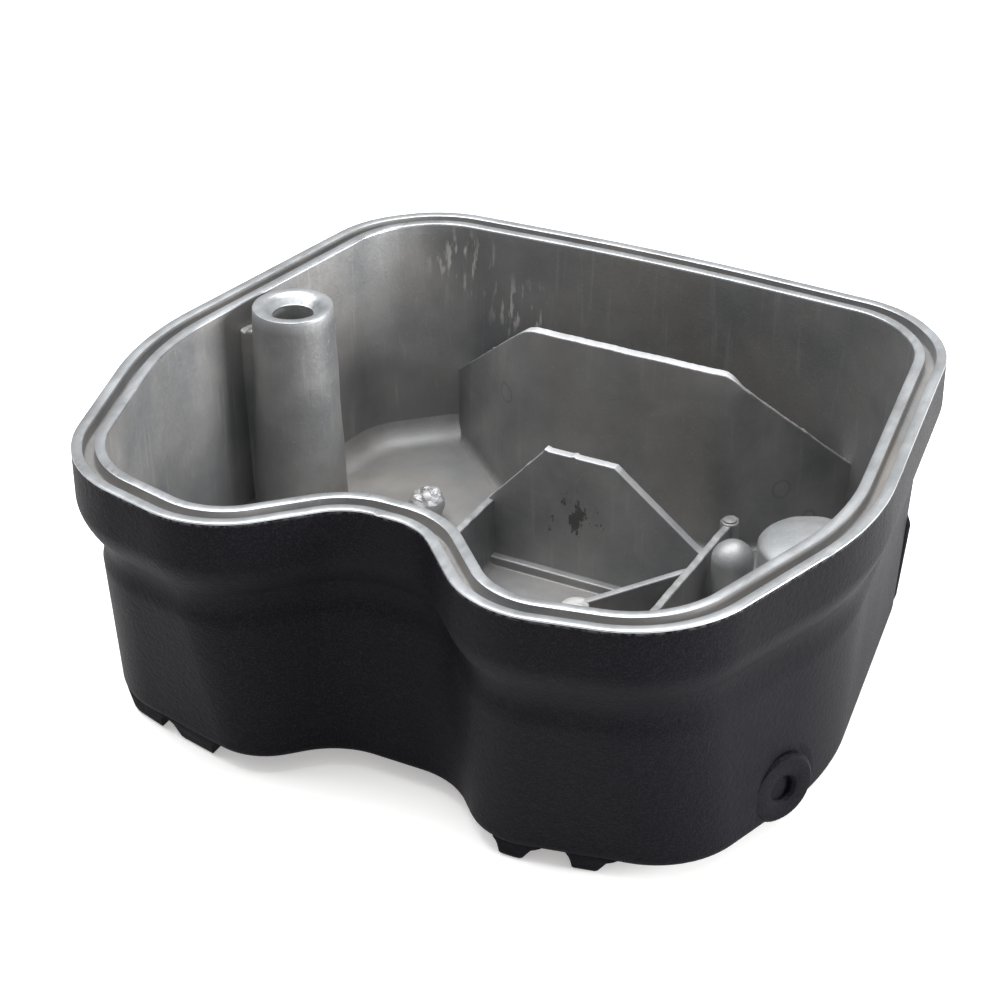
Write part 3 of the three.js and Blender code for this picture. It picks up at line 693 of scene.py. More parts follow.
@dataclass
class Finishes:
    """All finishes of the tub, made once."""

    coat: bpy.types.Material
    raw: bpy.types.Material
    inside: bpy.types.Material
    floor: bpy.types.Material
    groove: bpy.types.Material
    land: bpy.types.Material
    pale: bpy.types.Material
    rear: bpy.types.Material
    stained: bpy.types.Material
    torn: bpy.types.Material
    pad: bpy.types.Material

    @classmethod
    def make(cls) -> Finishes:
        """Make every finish.

        Returns:
            The finishes.
        """
        return cls(
            coat=PowderCoat().make(),
            raw=RawCasting().make(),
            inside=RawCasting("raw_cast_wall", dark=0.18, light=0.26, streaks=1.0, scars=True).make(),
            # Floor finish: the warm tint is the floor's own colour, and its lighter grey than the walls'
            # finish is painted light on the up-facing floor.
            floor=RawCasting(
                "raw_cast_floor", dark=0.23, light=0.36, warm=0.07, streaks=0.0, roughness=0.5,
            ).make(),
            groove=RawCasting("groove_metal", dark=0.22, light=0.34, streaks=0.0, roughness=0.42).make(),
            land=MilledFace().make(),
            pale=RawCasting("raw_cast_pale", dark=0.25, light=0.40, warm=-0.03, streaks=0.0).make(),
            pad=RawCasting("pad_aluminium", dark=0.44, light=0.62, streaks=0.0, roughness=0.5).make(),
            torn=RawCasting("torn_aluminium", dark=0.30, light=0.50, streaks=0.0, roughness=0.55).make(),
            rear=RawCasting("raw_cast_rear_baffle", warm=0.03, rings=REAR_RINGS).make(),
            stained=RawCasting("raw_cast_front_baffle", stain=(6.0, 18.5, 30.0)).make(),
        )


# ---- Shell ----------------------------------------------------------------------------------


@dataclass
class SealingRim:
    """Band round the mouth with two milled lands and a gasket groove between them."""

    land: float = 2.5
    groove_depth: float = 3.5
    straight: float = 12.0
    edge: float = 0.22
    burr: float = 0.22
    inside_rows: int = 9

    def section(self) -> tuple[np.ndarray, np.ndarray, np.ndarray]:
        """Section as rows of inset and depth, with the strips' materials and the worn rows.

        It runs up the rounded lower edge and the band's face, over both lands and the groove, and
        down the inside.

        Returns:
            Section, material of each strip and wear of each row.
        """
        width = WALLS.rim_width
        turn = np.linspace(1, 0, 13)
        depth = self.straight + (WALLS.shoulder_depth - self.straight) * turn
        inset = WALLS.shoulder_inset * turn**1.7
        lower = np.stack([inset, depth], axis=1)
        face = [(0.0, 9.0), (0.0, 4.0), (0.0, 1.2), (0.0, self.edge + 0.12)]
        over = [(0.05, self.edge * 0.45), (self.edge * 0.75, 0.0), (1.3, 0.0), (self.land - 0.15, 0.0)]
        inner_land = width - self.land
        foot = self.groove_depth
        groove = [
            (self.land + 0.05, 0.15), (self.land + 0.1, 1.2), (self.land + 0.13, foot - 0.5),
            (self.land + 0.35, foot - 0.1), (self.land + 0.7, foot), (width / 2, foot),
            (inner_land - 0.7, foot), (inner_land - 0.35, foot - 0.1), (inner_land - 0.13, foot - 0.5),
            (inner_land - 0.1, 1.2), (inner_land - 0.05, 0.15),
        ]
        inside = [(inner_land + 0.15, 0.0), (width - 1.2, 0.0), (width - 0.25, 0.0), (width - 0.03, 0.2)]
        rows = np.vstack([lower, face, over, groove, inside])
        down = np.linspace(0.6, WALLS.shoulder_depth, self.inside_rows)
        below = np.stack([WALLS.inner(down)[:, 0], down], axis=1)
        strips = np.concatenate([
            np.full(len(lower) + 3, 0), np.full(5, 1), np.full(10, 2), np.full(5, 1), np.full(len(below), 3),
        ])
        worn = np.zeros(len(rows) + len(below))
        worn[len(lower) + 3] = 0.2
        return np.vstack([rows, below]), strips, worn

    def build(self, finishes: Finishes) -> bpy.types.Object:
        """Loft the section round the outline and rough up the outer land's edge with burrs.

        Args:
            finishes: the tub's finishes.

        Returns:
            The finished piece.
        """
        section, strips, worn = self.section()
        insets = OUTLINE.everywhere(section[:, 0])
        inside = np.arange(len(section)) >= len(section) - self.inside_rows
        insets[inside] = WALLS.inner(section[inside, 1])
        points = OUTLINE.level(insets, RIM_Z - section[:, 1])
        edge = np.flatnonzero(worn)[0]
        outline = points[edge, :, :2]
        outward = outline - np.roll(outline, 1, 0)
        outward = np.stack([outward[:, 1], -outward[:, 0]], axis=1)
        outward /= np.linalg.norm(outward, axis=1, keepdims=True) + 1e-9
        waves = smooth_noise(outline, 9.0, 11) * 0.6 + smooth_noise(outline, 3.5, 12) * 0.6
        rough = np.clip(waves - 0.8, 0, 1)
        for row, share in ((edge, 0.6), (edge + 1, 1.0)):
            points[row, :, :2] += outward * (self.burr * share * rough)[:, None]
        low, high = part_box("rim_flange")
        points[..., :2] = np.clip(points[..., :2], np.array(low.xy) / MM, np.array(high.xy) / MM)
        wear_and_highlight = np.repeat(worn[:, None], points.shape[1], axis=1)
        surface = Surface(points, close_rows=True, strips=strips, wear_and_highlight=wear_and_highlight)
        metals = [finishes.coat, finishes.land, finishes.groove, finishes.inside]
        piece = surface.build("sealing_rim", metals, 50.0)
        return publish(piece, Slot.LAND, "rim_flange")


@dataclass
class SideWall:
    """Sloping wall below the rim's band, with a soft shoulder under the band."""

    bottom_depth: float = 57.0
    shoulder: float = 0.8
    blend: float = 9.0

    def depths(self) -> np.ndarray:
        """Depths of the rows, closer together under the band."""
        top = np.linspace(WALLS.shoulder_depth, WALLS.shoulder_depth + 5, 9)
        return np.concatenate([top, np.linspace(WALLS.shoulder_depth + 7, self.bottom_depth, 15)])

    def build(self, finishes: Finishes) -> bpy.types.Object:
        """Loft outer face up to the band, then the inner face down again.

        Args:
            finishes: the tub's finishes.

        Returns:
            The finished piece.
        """
        depth = self.depths()
        outer = WALLS.outer(depth)
        swell = np.sin(np.pi * np.clip((depth - WALLS.shoulder_depth) / self.blend, 0, 1))
        outer += self.shoulder * swell[:, None]
        outside = OUTLINE.level(outer, RIM_Z - depth)
        depth_in = np.linspace(WALLS.shoulder_depth, self.bottom_depth, 13)
        inside = OUTLINE.level(WALLS.inner(depth_in), RIM_Z - depth_in)
        points = np.concatenate([outside[::-1], inside])
        strips = np.concatenate([np.zeros(len(outside) - 1), np.ones(len(inside) + 1)]).astype(int)
        surface = Surface(points, close_rows=True, strips=strips)
        piece = surface.build("side_wall_skin", [finishes.coat, finishes.inside])
        return publish(piece, Slot.COAT, "side_wall")


@dataclass
class FloorPan:
    """Floor with the fillet into the wall, the rounded lower edge and the bolt's hole."""

    edge_depth: float = 57.0
    fillet: float = 6.0
    edge_round: float = 2.0
    hole: tuple[float, float, float] = (-72.1, 12.32, 5.25)
    spokes: int = 16

    def spread(self, ring: np.ndarray) -> np.ndarray:
        """Rings from an outline to the hole's circle, in straight lines towards the hole.

        Args:
            ring: points by 3.

        Returns:
            Rows by points by 3, without the outline itself.
        """
        x, y, radius = self.hole
        bearing = np.arctan2(ring[:, 1] - y, ring[:, 0] - x)
        circle = np.stack([x + radius * np.cos(bearing), y + radius * np.sin(bearing), ring[:, 2]], axis=1)
        share = np.linspace(0, 1, self.spokes + 1)[1:, None, None]
        return ring + (circle - ring) * share

    def build(self, finishes: Finishes) -> bpy.types.Object:
        """Loft underside, outer edge, inner fillet and floor as one closed ring.

        Args:
            finishes: the tub's finishes.

        Returns:
            The finished piece.
        """
        turn = quarter(6, 0, 90)
        base = WALLS.base_depth
        edge_depth = base - self.edge_round * (1 - np.sin(turn))
        edge = OUTLINE.level(
            WALLS.outer(edge_depth) + self.edge_round * (1 - np.cos(turn))[:, None], RIM_Z - edge_depth
        )
        rise = np.linspace(base - self.edge_round - 1, self.edge_depth, 5)
        side = OUTLINE.level(WALLS.outer(rise), RIM_Z - rise)
        floor_depth = RIM_Z - FLOOR_Z
        bend_depth = floor_depth - self.fillet * (1 - np.sin(turn))
        bend = OUTLINE.level(
            WALLS.inner(bend_depth) + self.fillet * (1 - np.cos(turn))[:, None], RIM_Z - bend_depth
        )
        bottom, top = self.spread(edge[-1]), self.spread(bend[-1])
        points = np.concatenate([bottom[::-1], edge[::-1], side, bend, top])
        outer_rows = len(bottom) + len(edge) + len(side) - 1
        strips = np.concatenate([np.zeros(outer_rows), np.ones(len(points) - outer_rows)]).astype(int)
        surface = Surface(points, close_rows=True, strips=strips)
        piece = surface.build("floor_pan_skin", [finishes.coat, finishes.floor])
        return publish(piece, Slot.COAT, "floor_pan")


# ---- Pillar ---------------------------------------------------------------------------------


@dataclass
class BoltPillar:
    """Hollow bolt pillar with a bright coned seat, and the thin web that joins it to the wall."""

    x: float = -72.1
    y: float = 12.32
    top_radius: float = 10.4
    base_radius: float = 12.4
    foot: float = 6.0
    rise: float = 1.2
    bore: float = 5.25
    seat: float = 7.9
    seat_depth: float = 2.4
    farthest_x: float = -85.6
    web_drop: float = 7.0
    web_width: float = 9.0
    web_steps: int = 24
    wobble: float = 0.10
    bore_rows: int = 14
    seat_rows: int = 8

    def profile(self) -> tuple[np.ndarray, np.ndarray]:
        """Radius and height from the bore's lower end, up the bore, over the seat and down outside.

        Returns:
            Profile rows, and the material of each strip.
        """
        top = RIM_Z + self.rise
        heights = np.linspace(FLOOR_Z - 0.5, top - self.seat_depth - 0.6, self.bore_rows)
        bore = np.stack([np.full(self.bore_rows, self.bore), heights], axis=1)
        seat = np.array([
            (self.bore + 0.05, top - self.seat_depth - 0.1),
            (self.bore + 0.35, top - self.seat_depth + 0.1),
            (self.seat - 1.3, top - 0.95), (self.seat - 0.35, top - 0.35),
            (self.seat + 0.15, top - 0.02), (self.top_radius - 0.45, top),
            (self.top_radius - 0.12, top - 0.12), (self.top_radius, top - 0.42),
        ])
        down = np.linspace(top - 1.2, FLOOR_Z + self.foot, 22)
        share = (top - down) / (top - FLOOR_Z - self.foot)
        side = np.stack([self.top_radius + (self.base_radius - self.top_radius) * share, down], axis=1)
        turn = quarter(8, 0, 90)[1:]
        flare = np.stack([self.base_radius + self.foot * (1 - np.cos(turn)) * 0.8,
                          FLOOR_Z - 0.3 + self.foot * (1 - np.sin(turn))], axis=1)
        rows = np.vstack([bore, seat, side, flare, [(self.base_radius + 3, FLOOR_Z - 0.6)]])
        strips = np.full(len(rows), 1)
        strips[self.bore_rows - 1:self.bore_rows + self.seat_rows - 2] = 0
        return rows, strips

    def build(self, finishes: Finishes) -> list[bpy.types.Object]:
        """Turn the pillar, and set the web between it and the wall.

        Args:
            finishes: the tub's finishes.

        Returns:
            The finished pieces.
        """
        rows, strips = self.profile()
        points = lathe(rows, self.x, self.y, 96)
        rim_row = self.bore_rows + self.seat_rows
        outside = np.arange(len(rows)) > rim_row
        wobble = smooth_noise(points, 22.0, 31) * self.wobble
        centre = np.array([self.x, self.y])
        outward = points[..., :2] - centre
        outward /= np.linalg.norm(outward, axis=-1, keepdims=True)
        points[..., :2] += outward * (wobble * outside[:, None])[..., None]
        points[..., 0] = np.maximum(points[..., 0], self.farthest_x)
        wear_and_highlight = np.zeros(points.shape[:2])
        wear_and_highlight[rim_row - 1:rim_row + 1] = 0.5
        pillar = Surface(points, close_rows=True, strips=strips, wear_and_highlight=wear_and_highlight).build(
            "pillar_post", [finishes.land, finishes.raw], 40.0)
        web = self.web(finishes)
        return [publish(pillar, Slot.RAW, "bolt_pillar"), publish(web, Slot.RAW, "pillar_web")]

    def web(self, finishes: Finishes) -> bpy.types.Object:
        """Web as a rounded plate from inside the pillar to inside the wall, with a ragged top.

        Args:
            finishes: the tub's finishes.

        Returns:
            The web.
        """
        along = np.linspace(self.farthest_x, self.x - 6.0, self.web_steps)
        outline = PlateSection(self.web_width * 0.5, self.web_width * 0.5, 0.0, 0.7)
        top = RIM_Z - self.web_drop + 0.35 * smooth_noise(along[:, None], 3.0, 41)
        path = np.stack([along, np.full(self.web_steps, self.y)], axis=1)
        return outline.sweep(path, top).build("pillar_web_plate", [finishes.raw])


# ---- Plates ---------------------------------------------------------------------------------


PLATE_SHARP = 42.0


@dataclass(frozen=True)
class PlateSection:
    """Upright plate that stands on the floor, with a foot fillet and rounded top edges."""

    top_half: float
    base_half: float
    foot: float = 2.0
    edge: float = 0.5
    sunk: float = 0.6

    def sweep(self, path: np.ndarray, top: np.ndarray, bright: np.ndarray | None = None) -> Surface:
        """Carry the section along a path.

        At each station the section is laid across the path: sideways = path + normal * offset, and
        its height is stretched between the floor and the top line.

        Args:
            path: stations by 2.
            top: height of the top edge at each station.
            bright: how strong the painted highlight along the top edge is at each station.

        Returns:
            Closed surface with the stations as rows.
        """
        turn = quarter(6, 0, 90)
        flare_out = self.base_half + self.foot * (1 - np.sin(turn))
        flare_up = self.foot * (1 - np.cos(turn))
        side = np.array([0.0, 0.2, 0.4, 0.6, 0.8, 0.985])
        round_turn = quarter(4, 0, 90)
        round_out = self.top_half - self.edge * (1 - np.cos(round_turn))
        round_down = self.edge * (1 - np.sin(round_turn))
        height = (top - FLOOR_Z)[:, None]
        start = self.base_half + (self.top_half - self.base_half) * 0.02
        count = len(path)
        rows_out = [np.full((count, 1), self.base_half + self.foot)]
        rows_out.append(np.broadcast_to(flare_out, (count, len(flare_out))))
        rows_up = [np.full((count, 1), -self.sunk), np.broadcast_to(flare_up, (count, len(flare_up)))]
        rows_out.append(np.broadcast_to(start + (self.top_half - start) * side, (count, len(side))))
        rows_up.append(self.foot + (height - self.edge - self.foot) * side)
        rows_out.append(np.broadcast_to(round_out, (count, len(round_out))))
        rows_up.append(height - round_down)
        out, up = np.hstack(rows_out), np.hstack(rows_up)
        out = np.hstack([out, -out[:, ::-1]])
        up = np.hstack([up, up[:, ::-1]])
        along = np.gradient(path, axis=0)
        along /= np.linalg.norm(along, axis=1, keepdims=True)
        normal = np.stack([-along[:, 1], along[:, 0]], axis=1)
        flat = path[:, None, :] + normal[:, None, :] * out[..., None]
        points = np.concatenate([flat, (FLOOR_Z + up)[..., None]], axis=-1)
        wear_and_highlight = np.zeros(out.shape)
        middle = out.shape[1] // 2
        # Top edge: 0.35 marks a worn edge, and bright raises it as a painted highlight where the top face
        # catches the light.
        wear_and_highlight[:, middle - 3:middle + 3] = 0.35
        if bright is not None:
            top_edge = wear_and_highlight[:, middle - 4:middle + 4]
            wear_and_highlight[:, middle - 4:middle + 4] = np.maximum(top_edge, bright[:, None])
        return Surface(points, cap_rows=True, wear_and_highlight=wear_and_highlight)


def bent_path(corners: list[tuple[float, float]], bend: float, spacing: float = 0.8) -> np.ndarray:
    """Evenly spaced points along a line whose corners are rounded.

    Every corner becomes a quadratic curve that starts and ends one bend away from it.

    Args:
        corners: corner points of the line.
        bend: distance from a corner at which the curve starts.
        spacing: distance between the points.

    Returns:
        Points by 2.
    """
    places = np.array(corners, float)
    pieces = [places[:1]]
    share = np.linspace(0, 1, 24)[:, None]
    for index in range(1, len(places) - 1):
        corner = places[index]
        enter = corner + (places[index - 1] - corner) / np.linalg.norm(places[index - 1] - corner) * bend
        leave = corner + (places[index + 1] - corner) / np.linalg.norm(places[index + 1] - corner) * bend
        pieces.append((1 - share) ** 2 * enter + 2 * share * (1 - share) * corner + share**2 * leave)
    line = np.vstack([*pieces, places[-1:]])
    length = np.concatenate([[0], np.cumsum(np.linalg.norm(np.diff(line, axis=0), axis=1))])
    even = np.linspace(0, length[-1], int(length[-1] / spacing) + 2)
    return np.stack([np.interp(even, length, line[:, 0]), np.interp(even, length, line[:, 1])], axis=1)


@dataclass
class RearBaffle:
    """Bent partition in front of the back wall, level in the middle and sloping down at both ends."""

    y: float = 50.5 + SHIFT_Y
    bend_left: float = -28.0
    bend_right: float = 34.0
    end: tuple[float, float] = (59.1, 77.9)
    bend: float = 6.0
    top_drop: float = 11.0
    end_drop: float = 43.5
    top_left: float = -24.0
    top_right: float = 33.0
    slope_end: float = 58.0
    end_lean: float = 0.1

    def build(self, finishes: Finishes) -> bpy.types.Object:
        """Sweep the plate along the bent path.

        Args:
            finishes: the tub's finishes.

        Returns:
            The finished piece.
        """
        x, y = self.end
        corners = [(-x, y), (self.bend_left, self.y), (self.bend_right, self.y), (x, y)]
        path = bent_path(corners, self.bend, 0.5)
        places = [-80, -self.slope_end, self.top_left, self.top_right, self.slope_end, 80]
        drops = [self.end_drop, self.end_drop, self.top_drop, self.top_drop, self.end_drop, self.end_drop]
        drop = np.interp(path[:, 0], places, drops)
        kernel = np.hanning(17) / np.hanning(17).sum()
        drop = np.convolve(np.pad(drop, 8, mode="edge"), kernel, mode="valid")
        flash = np.clip(smooth_noise(path, 7.0, 52) - 0.9, 0, 1) * blend_step(drop, 12.5, 16)
        top = RIM_Z - drop + 0.9 * flash + 0.06 * smooth_noise(path, 4.0, 51)
        # Painted highlight: the level part of the top edge gets the full light edge tone, where its top face
        # catches the light.
        level = 1 - blend_step(drop, 11.6, 13.5)
        surface = PlateSection(1.45, 2.0, 2.2, 0.45).sweep(path, top, level)
        depth = np.maximum(RIM_Z - self.end_drop - surface.points[..., 2], 0)
        near = blend_step(np.abs(surface.points[..., 0]), self.end[0] - 9, self.end[0])
        shift = self.end_lean * depth * near
        surface.points[..., 0] -= np.sign(surface.points[..., 0]) * shift
        surface.points[..., 1] -= shift
        piece = surface.build("rear_baffle_plate", [finishes.rear], PLATE_SHARP)
        return publish(piece, Slot.RAW, "rear_baffle")


@dataclass
class FrontBaffle:
    """Plate with sloping shoulders across the ribs, and the low step along its foot."""

    y: float = 20.0 + SHIFT_Y
    left: float = -19.6
    right: float = 41.0
    top_left: float = -3.0
    top_right: float = 16.5
    top_drop: float = 26.7
    rib_drop: float = 45.5

    def build(self, finishes: Finishes) -> list[bpy.types.Object]:
        """Sweep the plate and the step along X.

        Args:
            finishes: the tub's finishes.

        Returns:
            The finished pieces.
        """
        even = np.linspace(self.left, self.right, 96)
        along = np.unique(np.concatenate([even, [self.top_left, self.top_right]]))
        path = np.stack([along, np.full(len(along), self.y)], axis=1)
        drop = np.interp(along, [self.left, self.top_left, self.top_right, self.right],
                         [self.rib_drop, self.top_drop, self.top_drop, self.rib_drop])
        nicks = np.clip(smooth_noise(path, 5.0, 61) - 0.8, 0, 1)
        top = RIM_Z - drop + 0.6 * nicks
        # Painted highlight: the level part of the top edge gets a stronger light edge tone than the
        # shoulders, where its top face catches the light.
        level = np.where((along > self.top_left - 1) & (along < self.top_right + 1), 0.9, 0.35)
        plate = PlateSection(1.25, 1.7, 1.2, 0.35).sweep(path, top, level)
        plate = plate.build("front_baffle_plate", [finishes.stained], PLATE_SHARP)
        step_path = path - (0, 2.7)
        step = PlateSection(1.3, 1.4, 0.5, 0.5).sweep(step_path, np.full(len(path), FLOOR_Z + 2.4))
        step = step.build("baffle_foot_bead", [finishes.raw], PLATE_SHARP)
        return [publish(plate, Slot.RAW, "front_baffle"), publish(step, Slot.RAW, "baffle_foot_step")]


@dataclass
class Ribs:
    """Low ribs on the floor and the round posts that end them."""

    left_x: float = -18.6
    right_x: float = 41.0
    top_drop: float = 45.0
    back_y: float = 36.6
    baffle_y: float = 21.4
    sunk: float = 1.0
    notch_lean: float = 0.03
    lobe_lean: float = 0.125
    steps: int = 120
    diagonal: tuple[tuple[float, float], ...] = ((41.2, 14.6), (39.0, 12.0), (24.0, -10.4), (21.9, -13.5))
    diagonal_drop: float = 46.5
    pad: tuple[float, float, float] = (21.9, -13.54, 3.5)
    lobe_pad: tuple[float, float, float] = (38.0, -16.9, 2.9)

    def straight(self, name: str, x: float, back: float, front: float, lean: float,
                 finishes: Finishes) -> bpy.types.Object:
        """One rib along Y whose front end leans back with the wall it runs into.

        Args:
            name: name of the piece.
            x: place along X.
            back: its back end.
            front: its front end.
            lean: how far the front end leans back for each millimetre down.
            finishes: the tub's finishes.

        Returns:
            The rib.
        """
        along = np.linspace(back, front, self.steps)
        path = np.stack([np.full(self.steps, x), along], axis=1)
        top = RIM_Z - self.top_drop + 0.12 * smooth_noise(path, 6.0, int(x) + 99)
        surface = PlateSection(1.05, 1.5, 1.8, 0.4).sweep(path, top, np.full(self.steps, 0.3))
        depth = RIM_Z - self.top_drop - surface.points[..., 2]
        near_wall = blend_step(np.linspace(0, 1, self.steps), 0.6, 1.0)
        surface.points[..., 1] += lean * depth * near_wall[:, None]
        return surface.build(name, [finishes.raw], PLATE_SHARP)

    def post(self, name: str, x: float, y: float, radius: float, top: float, crown: float,
             finish: bpy.types.Material) -> bpy.types.Object:
        """Round post with a slightly crowned top and a small foot.

        Args:
            name: name of the piece.
            x: place along X.
            y: place along Y.
            radius: radius of its side.
            top: height of its top.
            crown: rise of the crown.
            finish: the piece's finish.

        Returns:
            The post.
        """
        turn = quarter(6, 0, 90)
        foot = np.stack([radius + 1.4 * (1 - np.sin(turn)), FLOOR_Z + 1.4 * (1 - np.cos(turn))], axis=1)
        head = np.stack([radius - 0.5 * (1 - np.cos(turn)), top - crown - 0.5 * (1 - np.sin(turn))], axis=1)
        dome = np.array([(radius * 0.75, top - crown * 0.5), (radius * 0.4, top - crown * 0.12), (0.0, top)])
        rows = np.vstack([[(0, FLOOR_Z - 0.5), (radius + 1.4, FLOOR_Z - 0.5)], foot, head, dome])
        points = lathe(rows, x, y, 48)
        high = (points[..., 2] > top - 2)[..., None]
        points += high * 0.10 * smooth_noise(points, 3.0, 71)[..., None]
        return Surface(points).build(name, [finish], 45.0)

    def build(self, finishes: Finishes) -> list[bpy.types.Object]:
        """Build ribs and posts.

        Args:
            finishes: the tub's finishes.

        Returns:
            The finished pieces.
        """
        rib_top = RIM_Z - self.top_drop
        left_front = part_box("left_rib")[0].y / MM - self.sunk
        right_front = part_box("right_rib")[0].y / MM - self.sunk
        left = self.straight(
            "left_rib_plate", self.left_x, self.baffle_y, left_front, self.notch_lean, finishes)
        right = self.straight(
            "right_rib_plate", self.right_x, self.back_y, right_front, self.lobe_lean, finishes)
        path = bent_path(list(self.diagonal), 1.6, 0.5)
        diagonal = PlateSection(1.0, 1.5, 1.6, 0.4).sweep(
            path, np.full(len(path), RIM_Z - self.diagonal_drop), np.full(len(path), 0.25))
        diagonal = diagonal.build("diagonal_rib_plate", [finishes.raw], PLATE_SHARP)
        end = self.post("right_rib_end", self.right_x, self.back_y, 2.4, rib_top + 1.2, 0.8, finishes.raw)
        pad = self.post("diagonal_rib_pad", *self.pad, RIM_Z - self.diagonal_drop + 0.3, 0.5, finishes.pad)
        lobe = self.post("lobe_pad", *self.lobe_pad, RIM_Z - 44.0, 0.4, finishes.pad)
        return [
            publish(left, Slot.RAW, "left_rib"),
            publish(right, Slot.RAW, "right_rib"),
            publish(diagonal, Slot.RAW, "diagonal_rib"),
            publish(end, Slot.RAW, "right_rib_post"),
            publish(pad, Slot.LAND, "diagonal_rib_post"),
            publish(lobe, Slot.LAND, "lobe_post"),
        ]


# ---- Bosses and stubs -----------------------------------------------------------------------


@dataclass
class RoundBoss:
    """Boss with a domed head."""

    name: str
    node: str
    x: float
    y: float
    radius: float
    top: float
    crown: float
    foot: float = 2.0
    farthest_x: float = 200.0
    waist: float = 0.0

    def build(self, finish: bpy.types.Material) -> bpy.types.Object:
        """Turn the boss: foot fillet, straight side, then a quarter ellipse over the top.

        Args:
            finish: the piece's finish.

        Returns:
            The finished piece.
        """
        turn = quarter(8, 0, 90)
        foot_out = self.radius + self.foot * (1 - np.sin(turn))
        foot = np.stack([foot_out, FLOOR_Z + self.foot * (1 - np.cos(turn))], axis=1)
        dome_turn = quarter(16, 0, 90)
        dome_up = self.top - self.crown + self.crown * np.sin(dome_turn)
        dome = np.stack([self.radius * np.cos(dome_turn), dome_up], axis=1)
        rows = np.vstack([[(0, FLOOR_Z - 0.5), (self.radius + self.foot, FLOOR_Z - 0.5)], foot, dome])
        waist = np.clip((rows[:, 1] - FLOOR_Z) / (self.top - self.crown - FLOOR_Z), 0, 1)
        rows[:, 0] -= self.waist * np.sin(np.pi * waist)
        points = lathe(rows, self.x, self.y, 80)
        points += 0.07 * smooth_noise(points, 9.0, 81)[..., None]
        points[..., 0] = np.minimum(points[..., 0], self.farthest_x)
        return publish(Surface(points).build(self.name, [finish]), Slot.RAW, self.node)


@dataclass
class BrokenStub:
    """Torn lump of metal left where a runner broke off."""

    name: str
    node: str
    place: tuple[float, float, float]
    size: tuple[float, float, float]
    seed: int

    def build(self, finish: bpy.types.Material) -> bpy.types.Object:
        """Ball pushed in and out: radius = 1 + coarse noise + fine noise, flattened into facets.

        Args:
            finish: the piece's finish.

        Returns:
            The finished piece.
        """
        across = np.linspace(0, np.pi, 40)[:, None]
        round_ = np.linspace(0, 2 * np.pi, 56, endpoint=False)[None, :]
        ball = np.stack([np.sin(across) * np.cos(round_), np.sin(across) * np.sin(round_),
                         np.cos(across) * np.ones_like(round_)], axis=-1)
        coarse = smooth_noise(ball, 2.2, self.seed)
        facets = np.round(smooth_noise(ball, 1.2, self.seed + 1) * 2.0) / 2.0
        ball = ball * (1 + 0.13 * coarse + 0.10 * facets)[..., None]
        points = ball * (np.array(self.size) / 2) + self.place
        wear_and_highlight = np.clip(0.6 + 0.5 * coarse, 0, 1)
        return publish(Surface(points, wear_and_highlight=wear_and_highlight).build(self.name, [finish], 12.0), Slot.LAND, self.node)


@dataclass
class SidePort:
    """Boss with a blind hole low on the right-hand wall."""

    x: float = 88.02
    y: float = -40.80
    z: float = 13.4
    turn: float = -27.0
    radius: float = 9.0
    bore: float = 3.1
    depth: float = 8.5
    pad: float = 11.7

    def build(self, finishes: Finishes) -> bpy.types.Object:
        """Turn the boss about its own axis, with a soft outer step, and lay it on the wall.

        Args:
            finishes: the tub's finishes.

        Returns:
            The finished piece.
        """
        rows = np.array([
            (0.0, -self.depth), (self.bore - 0.4, -self.depth), (self.bore, -self.depth + 0.5),
            (self.bore, -4.0), (self.bore, -0.9), (self.bore + 0.1, -0.7),
            (self.bore + 0.75, -0.12), (self.bore + 0.95, 0.0), (self.radius - 1.2, 0.0),
            (self.radius - 0.9, -0.03), (self.radius - 0.1, -0.75), (self.radius, -1.0),
            (self.radius, -2.3), (self.radius + 0.3, -2.6), (self.pad - 0.7, -2.7), (self.pad - 0.2, -2.9),
            (self.pad, -3.3), (self.pad, -4.2), (self.pad, -5.6), (self.radius, -6.4),
            (self.radius - 1.0, -8.9), (0.0, -9.3),
        ])
        steps = 96
        turn = np.linspace(0, 2 * np.pi, steps, endpoint=False)
        radius, out = rows[:, :1], rows[:, 1:2]
        side, up = radius * np.cos(turn), radius * np.sin(turn)
        low = PAN_Z - 0.2 - self.z
        up = np.where(radius > self.radius + 0.1, np.maximum(up, low), up)
        bearing = math.radians(self.turn)
        x = self.x + out * math.cos(bearing) - side * math.sin(bearing)
        y = self.y + out * math.sin(bearing) + side * math.cos(bearing)
        points = np.stack([x, y, self.z + up], axis=-1)
        piece = Surface(points).build("side_port_ring", [finishes.coat], 32.0)
        return publish(piece, Slot.COAT, "side_port_boss")


